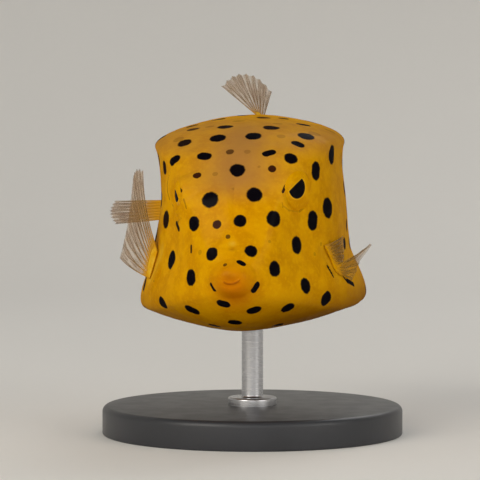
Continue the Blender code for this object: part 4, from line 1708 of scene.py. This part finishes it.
@dataclass
class Eyes:
    """Both eyes: lenses that stand a little out of the skin, each with its front upper fold."""

    shop: Workshop
    segments: int = 200
    rings: int = 150
    fold_edge: Span = (0.0, 0.16)
    fold_end: Span = (0.7, 0.9)

    def lens(self, eye: EyeFrame) -> bmesh.types.BMesh:
        """Flatten a ball into a lens and put it in its place.

        Args:
            eye: The eye.

        Returns:
            The mesh.
        """
        bm = bmesh.new()
        bmesh.ops.create_uvsphere(bm, u_segments=self.segments, v_segments=self.rings, radius=1.0)
        bmesh.ops.scale(bm, verts=bm.verts, vec=(eye.radius, eye.radius, eye.bulge))
        turn = Vector(eye.out()).to_track_quat("Z", "Y").to_matrix().to_4x4()
        place = Matrix.Translation(Vector(eye.centre(self.shop.plan))) @ turn
        bmesh.ops.transform(bm, matrix=place, verts=bm.verts)
        return bm

    def build(self) -> None:
        """Make each eye, raise its fold, and store where its pupil and its fold are."""
        for word, side in SIDES.items():
            eye, pupil = EYES[side], PUPILS[side]
            mesh = mesh_of(f"eye_{word}_lens", self.lens(eye))
            points = points_of(mesh)
            a, b, c = eye.local(points, self.shop.plan)
            fold = smoothstep(*self.fold_edge, pupil.covered(a, b)) * (c > 0)
            lift = pupil.fold_height * fold * (1 - smoothstep(*self.fold_end, np.hypot(a, b) / eye.radius))
            points += lift[:, None] * eye.out()
            mesh.vertices.foreach_set("co", points.astype(np.float32).ravel())
            set_attribute(mesh, "pupil_edge", pupil.edge(a, b))
            set_attribute(mesh, "fold", fold)
            self.shop.keep(f"eye_{word}_lens", mesh, FishEye, "eye_gloss", (f"eye_{word}",))


def tube(target: bmesh.types.BMesh, line: np.ndarray, radius: np.ndarray, along: np.ndarray,
         sides: int = 8) -> None:
    """Add a closed tube along a line to a mesh.

    Args:
        target: The mesh that it is added to.
        line: Its middle, point by point.
        radius: Its radius at each point.
        along: Share along the fin of each point, kept on the vertices.
        sides: Faces round it.
    """
    ahead = unit(np.gradient(line, axis=0))
    aside = unit(np.cross(ahead, SKEW))
    above = np.cross(ahead, aside)
    angle = np.linspace(0, 2 * pi, sides, endpoint=False)
    ring = np.cos(angle)[None, :, None] * aside[:, None] + np.sin(angle)[None, :, None] * above[:, None]
    share = np.repeat(along[:, None], sides, axis=1)
    part = mesh_of("part", bent_grid(line[:, None] + ring * radius[:, None, None], closed=True, capped=True,
                                     stored={"along_fin": share}))
    target.from_mesh(part)
    bpy.data.meshes.remove(part)


@dataclass
class FanFin:
    """One fin: a thin membrane on branching rays, with a fleshy foot.

    roots and tips are points at even shares across the fin, along its root and along its edge. bow
    bends the middle of the fin out, and foot is the share of its length that is fleshy.
    """

    shop: Workshop
    name: str
    node: str
    roots: np.ndarray
    tips: np.ndarray
    rays: int = 10
    bow: Point = (0.0, 0.0, 0.0)
    sink: float = 0.7
    foot: float = 0.2
    foot_thickness: float = 0.85
    foot_grid: tuple[int, int] = (6, 20)
    foot_run: Span = (0.45, 0.6)
    foot_round: float = 0.7
    foot_ridge: float = 0.12
    fold: float = 0.05
    scallop: float = 0.03
    twig_scallop: float = 0.35
    ripple: Point = (0.03, 23.0, 5.0)
    membrane_grid: tuple[int, int] = (12, 44)
    membrane_thickness: float = 0.07
    forks: tuple[float, ...] = (0.0, 0.36, 0.68, 1.0)
    fork_width: float = 0.9
    ray_radii: tuple[float, ...] = (0.10, 0.062, 0.042)
    ray_points: int = 16
    ray_overlap: float = 0.015
    ray_end: float = 0.99
    ray_taper: float = 0.35
    twig_taper: float = 0.55
    joints: int = 34
    joint_swell: float = 0.07
    fleshy: float = 1.0
    flesh: type[Finish] = FinFlesh

    def place(self, u: np.ndarray, v: np.ndarray) -> np.ndarray:
        """Find places on the middle surface of the fin.

        Args:
            u: Shares across it.
            v: Shares along it.

        Returns:
            The places.
        """
        even = np.linspace(0, 1, len(self.roots))
        root, tip = (np.stack([np.interp(u, even, line[:, k]) for k in range(3)], axis=-1)
                     for line in (self.roots, self.tips))
        start = root - unit(tip - root) * self.sink
        v = np.asarray(v, float)[..., None]
        return start + (tip - start) * v + np.array(self.bow) * 4 * v * (1 - v)

    def through_sheet(self, u: np.ndarray, v: np.ndarray, step: float = 0.01) -> np.ndarray:
        """Work out the direction through the fin.

        Args:
            u: Shares across it.
            v: Shares along it.
            step: Share by which the points differ that it is worked out from.

        Returns:
            The directions.
        """
        across = self.place(np.clip(u + step, 0, 1), v) - self.place(np.clip(u - step, 0, 1), v)
        along = self.place(u, v + step) - self.place(u, v - step)
        return unit(np.cross(across, along))

    def dip(self, u: np.ndarray, v: np.ndarray) -> np.ndarray:
        """How far the pleated fin stands out of its middle surface: one way on rays, back between."""
        return self.fold * np.cos(2 * pi * u * (self.rays - 1)) * v

    def shares(self, grid: tuple[int, int]) -> list[np.ndarray]:
        """Shares across and along the fin, with so many steps between rays and rows along it."""
        return np.meshgrid(np.linspace(0, 1, (self.rays - 1) * grid[0] + 1), np.linspace(0, 1, grid[1]))

    def make_membrane(self) -> None:
        """Make the membrane: it dips between rays, and its edge is drawn in between their tips."""
        u, v = self.shares(self.membrane_grid)
        between = np.abs(np.sin(pi * u * (self.rays - 1)))
        twigs = np.abs(np.sin(4 * pi * u * (self.rays - 1)))
        drawn = v * (1 - self.scallop * (between + self.twig_scallop * twigs) * v ** 4)
        size, along, across = self.ripple
        ripple = size * np.sin(along * v + across * u) * v
        places = self.place(u, drawn)
        places = places + self.through_sheet(u, drawn) * (self.dip(u, v) + ripple)[..., None]
        bm = bent_grid(places, stored={"along_fin": drawn ** self.fleshy, "across_fin": u * (self.rays - 1)})
        piece = self.shop.keep(f"{self.name}_membrane", bm, FinSkin, "fin_membrane", (self.node,))
        solid = piece.modifiers.new("thickness", "SOLIDIFY")
        solid.thickness = self.membrane_thickness * MM
        solid.offset = 0.0

    def make_rays(self) -> None:
        """Make the rays: jointed tapering tubes that fork twice and reach the fin's edge."""
        joined = bmesh.new()
        for ray in range(self.rays):
            for level, radius in enumerate(self.ray_radii):
                for branch in range(2 ** level):
                    self.add_twig(joined, ray, level, branch, radius)
        self.shop.keep(f"{self.name}_rays", joined, FinRay, "fin_membrane")

    def add_twig(self, joined: bmesh.types.BMesh, ray: int, level: int, branch: int, radius: float) -> None:
        """Add one length of a ray, between two forks or from the last one to the edge.

        Args:
            joined: The mesh that it is added to.
            ray: Number of its ray.
            level: How many forks are before it.
            branch: Its number among the ray's branches there.
            radius: Its radius where it starts.
        """
        last = level == len(self.ray_radii) - 1
        low, high = self.forks[level:level + 2]
        high = self.ray_end if last else high + self.ray_overlap
        gap = 1 / (self.rays - 1)
        before, place = self.twig_offset(level - 1, branch // 2), self.twig_offset(level, branch)
        t = np.linspace(0, 1, self.ray_points)
        v = low + (high - low) * t
        u = np.clip(ray * gap + gap * (before + (place - before) * smoothstep(0, 1, t)), 0, 1)
        line = self.place(u, v) + self.through_sheet(u, v) * self.dip(u, v)[..., None]
        swell = 1 + self.joint_swell * np.cos(2 * pi * self.joints * v)
        thick = radius * (1 - self.ray_taper * t) * swell
        tube(joined, line, thick * (1 - self.twig_taper * t ** 3) if last else thick, v ** self.fleshy)

    def twig_offset(self, level: int, branch: int) -> float:
        """Place a branch across the gaps on both sides of its ray.

        Args:
            level: How many forks are before it.
            branch: Its number among the ray's branches there.

        Returns:
            Its place, as a share of a gap.
        """
        if level < 1:
            return 0.0
        count = 2 ** level
        return (branch - (count - 1) / 2) / count * self.fork_width

    def make_foot(self) -> None:
        """Make the fleshy foot: a rounded pad, longest in its middle, that thins out along the fin."""
        u, v = self.shares(self.foot_grid)
        least, power = self.foot_run
        along = v * (self.foot * (least + (1 - least) * np.sin(pi * u) ** power))
        aside = np.abs(2 * u - 1)
        thick = self.foot_thickness / 2 * np.clip(1 - aside ** 4, 0, 1) ** 0.5
        thick = thick * np.clip(1 - v ** 2, 0, 1) ** self.foot_round
        ridges = 1 + self.foot_ridge * np.cos(2 * pi * u * (self.rays - 1)) * v
        offset = self.through_sheet(u, along) * (thick * ridges)[..., None]
        middle = self.place(u, along)
        bm = bent_grid(np.concatenate([middle + offset, (middle - offset)[::-1]]), capped=True)
        self.shop.keep(f"{self.name}_foot", bm, self.flesh, "skin_yellow")

    def build(self) -> None:
        """Make the fin's three pieces."""
        self.make_membrane()
        self.make_rays()
        self.make_foot()


@dataclass
class Fins:
    """All five fins, in the places and sizes that the solids have."""

    shop: Workshop
    tail: Tail
    pectoral_upper: Span = (13.9, 2.6)
    pectoral_lower: Span = (15.8, -1.8)
    pectoral_lift: float = 0.15
    right_tips: Tips = ((0.0, -13.3, 15.0, 12.9), (0.33, -14.8, 16.5, 12.2), (0.5, -15.3, 17.5, 9.9),
                        (0.75, -16.4, 19.4, 4.9), (1.0, -17.7, 20.0, 0.2))
    left_tips: Tips = ((0.0, 13.4, 18.7, 3.2), (0.2, 13.5, 18.9, 1.9), (0.38, 13.5, 18.3, 0.6),
                       (0.48, 13.5, 17.4, -0.4), (0.56, 14.2, 18.0, -0.3), (0.64, 15.0, 18.7, 0.1),
                       (0.68, 15.2, 18.9, 0.1), (0.70, 17.0, 20.4, 1.75), (0.74, 17.3, 20.7, 1.7),
                       (0.76, 15.6, 19.1, -0.4), (0.88, 15.2, 18.6, -1.3),
                       (0.94, 15.0, 18.2, -2.2), (1.0, 14.5, 17.8, -2.9))
    dorsal_root: Span = (38.0, 5.5)
    dorsal_tips: Tips = ((0.0, -5.6, 41.4, 22.2), (0.3, -4.0, 44.4, 23.6), (0.65, -1.4, 47.2, 23.2),
                         (1.0, 1.0, 48.2, 20.8))
    anal_root: Span = (41.5, 5.0)
    anal_tips: Tips = ((0.0, 2.2, 44.5, -13.2), (0.35, 1.6, 47.6, -13.8), (0.7, 0.6, 50.2, -12.2),
                       (1.0, -0.4, 51.2, -9.6))
    midline_lift: float = 0.1
    tail_length: float = 13.7
    tail_overlap: float = 0.3
    tail_heights: Span = (1.25, 1.8)
    tail_arch: float = 0.8
    shares: np.ndarray = field(default_factory=lambda: np.linspace(0.0, 1.0, 51))

    def pectoral_roots(self, side: int) -> np.ndarray:
        """Lay the root line of a side fin on the flank.

        Args:
            side: 1 on the left, -1 on the right.

        Returns:
            Its points.
        """
        upper, lower = np.array(self.pectoral_upper), np.array(self.pectoral_lower)
        plan = self.shop.plan
        places = [upper + u * (lower - upper) for u in self.shares]
        return np.array([plan.on_side(y, z, side) + plan.side_normal(y, z, side) * self.pectoral_lift
                         for y, z in places])

    def midline_roots(self, line: Line, root: Span, lift: float) -> np.ndarray:
        """Root line on the crown or the belly."""
        y = root[0] + root[1] * self.shares
        return np.stack([np.zeros_like(y), y, through(line, y) + lift], axis=-1)

    def edge(self, tips: Tips, ragged: bool = False) -> np.ndarray:
        """Draw the edge of a fin through its tips.

        Args:
            tips: The tips, each a share across the fin and a place.
            ragged: Whether the edge has a corner at each tip.

        Returns:
            Its points.
        """
        share, *places = np.array(tips).T
        if ragged:
            return np.stack([np.interp(self.shares, share, place) for place in places], axis=-1)
        return np.stack([through(tuple(zip(share, place)), self.shares) for place in places], axis=-1)

    def tail_lines(self) -> tuple[np.ndarray, np.ndarray]:
        """Draw the tail fin from its top down.

        Returns:
            Points of its root line and of its edge.
        """
        length = self.tail.length - self.tail_overlap
        root, ahead = self.tail.line(length)
        end, _ = self.tail.line(length + self.tail_length)
        down = (1 - 2 * self.shares)[:, None] * np.array([0, 0, 1])
        short = self.tail_arch * (1 - np.sin(pi * self.shares))
        return (root + down * self.tail_heights[0],
                end - ahead * short[:, None] + down * self.tail_heights[1])

    def build(self) -> None:
        """Make each fin."""
        shop, plan, lift = self.shop, self.shop.plan, self.midline_lift
        FanFin(shop, "pectoral_right", "pectoral_fin_right", self.pectoral_roots(-1),
               self.edge(self.right_tips), rays=11, bow=(-0.5, 0, 0), foot=0.12,
               foot_thickness=0.32).build()
        FanFin(shop, "pectoral_left", "pectoral_fin_left", self.pectoral_roots(1),
               self.edge(self.left_tips, ragged=True), rays=11, bow=(0.35, 0, 0), foot=0.09,
               foot_thickness=0.36, fold=0.03, flesh=FishSkin).build()
        FanFin(shop, "dorsal", "dorsal_fin", self.midline_roots(plan.crown_z, self.dorsal_root, lift),
               self.edge(self.dorsal_tips), rays=9, foot_thickness=0.8).build()
        FanFin(shop, "anal", "anal_fin", self.midline_roots(plan.belly_z, self.anal_root, -lift),
               self.edge(self.anal_tips), rays=9, foot_thickness=0.8).build()
        FanFin(shop, "tail", "tail_fin", *self.tail_lines(), rays=8, fold=0.06, foot_thickness=0.8,
               forks=(0.0, 0.4, 0.72, 1.0), fleshy=3.5).build()


@dataclass
class Stand:
    """Display stand: a turned base with a rounded rim, and a steel rod on a small foot."""

    shop: Workshop
    base_radius: float = 21.0
    base_height: float = 4.0
    base_foot: float = 0.25
    bevel: float = 0.8
    rod_radius: float = 1.5
    foot_radius: float = 3.4
    foot_height: float = 0.8
    gap: float = 0.3
    rod_round: float = 0.3
    rod_into_belly: float = 0.15
    segments: int = 192
    crease: float = 40.0

    def rod_top(self) -> float:
        """Work out where the rod ends, just inside the belly.

        Returns:
            The height.
        """
        y = self.shop.pose.hold_y
        belly = self.shop.matrix() @ Vector((0, y, float(through(self.shop.plan.belly_z, y))))
        return belly.z + self.rod_into_belly

    def profiles(self) -> tuple[Line, Line]:
        """Draw the profiles that are turned.

        Returns:
            Points (radius, height) of the base's and of the rod's.
        """
        r, h, b, f = self.base_radius, self.base_height, self.bevel, self.base_foot
        base = ((0.0, 0.0), *arc((r - f, f), f, -pi / 2), *arc((r - b, h - b), b, 0.0), (0.0, h))
        r, foot, top, s = self.rod_radius, h + self.foot_height + self.gap, self.rod_top(), self.rod_round
        collar = arc((self.foot_radius - s, foot - s), s, 0.0)
        neck = arc((r + s, foot + s), s, -pi / 2, -pi / 2)
        rod = ((0.0, h), (self.foot_radius, h), *collar, *neck, (r, top - s), (r - s, top), (0.0, top))
        return base, rod

    def build(self) -> None:
        """Make the base and the rod."""
        base, rod = (turned(profile, self.segments) for profile in self.profiles())
        for piece in (
                self.shop.keep("stand_base_turned", base, CharcoalPaint, "stand_charcoal", ("stand_base",),
                               posed=False),
                self.shop.keep("stand_rod_turned", rod, BrushedSteel, "stand_steel", ("stand_rod",),
                               posed=False)):
            piece.data.set_sharp_from_angle(angle=radians(self.crease))


@dataclass(frozen=True)
class AreaLamp:
    """Soft box: its place, width and power, and the tint of its light."""

    name: str
    place: Point
    width: float
    power: float
    colour: str


@dataclass
class Studio:
    """Plain pale sweep, round on every side, with four soft boxes."""

    shop: Workshop
    floor_radius: float = 620.0
    cove: float = 320.0
    wall: float = 2.2
    cove_steps: int = 24
    segments: int = 96
    lamps: tuple[AreaLamp, ...] = (
        AreaLamp("key", (-235.0, -350.0, 240.0), 280.0, 0.92, "#FFFAF0"),
        AreaLamp("front", (50.0, -480.0, 140.0), 240.0, 0.25, "#FFFFFF"),
        AreaLamp("fill", (340.0, -240.0, 160.0), 280.0, 0.42, "#FCFAF6"),
        AreaLamp("back", (120.0, 330.0, 380.0), 260.0, 0.46, "#FFFFFF"))
    aim: Point = (0.0, -8.0, 30.0)
    air: str = "#F2F3F5"
    ambient: float = 0.26

    def build(self) -> None:
        """Make the sweep, the lamps and the pale light of the room."""
        corner = self.floor_radius - self.cove
        curve = arc((corner, self.cove), self.cove, -pi / 2, steps=self.cove_steps)
        profile = ((0.0, 0.0), (corner / 2, 0.0), *curve, (self.floor_radius, self.wall * self.cove))
        floor = self.shop.place("sweep", turned(profile, self.segments), StudioPaper, posed=False)
        for lamp in self.lamps:
            self.light(lamp)
        world = bpy.data.worlds.new("pale_room")
        world.use_nodes = True
        background = world.node_tree.nodes["Background"]
        connect(world.node_tree, background, {"Color": linear(self.air), "Strength": self.ambient})
        bpy.context.scene.world = world
        bpy.context.scene.view_settings.view_transform = "Standard"

    def light(self, lamp: AreaLamp) -> None:
        """Hang one soft box, aimed at the fish.

        Args:
            lamp: The soft box.
        """
        data = bpy.data.lights.new(lamp.name, "AREA")
        data.shape = "SQUARE"
        data.size = lamp.width * MM
        data.energy = lamp.power
        data.color = linear(lamp.colour)[:3]
        held = bpy.data.objects.new(lamp.name, data)
        held.location = Vector(lamp.place) * MM
        aim = Vector(self.aim) - Vector(lamp.place)
        held.rotation_euler = aim.to_track_quat("-Z", "Y").to_euler()
        bpy.context.scene.collection.objects.link(held)


def main() -> None:
    """Build the fish, its stand and the studio."""
    shop = Workshop()
    tail = Tail(shop.plan)
    shop.view.make_camera(shop.matrix())
    Studio(shop).build()
    Skin(shop, tail).build()
    Eyes(shop).build()
    Fins(shop, tail).build()
    Stand(shop).build()


if __name__ == "__main__":
    main()
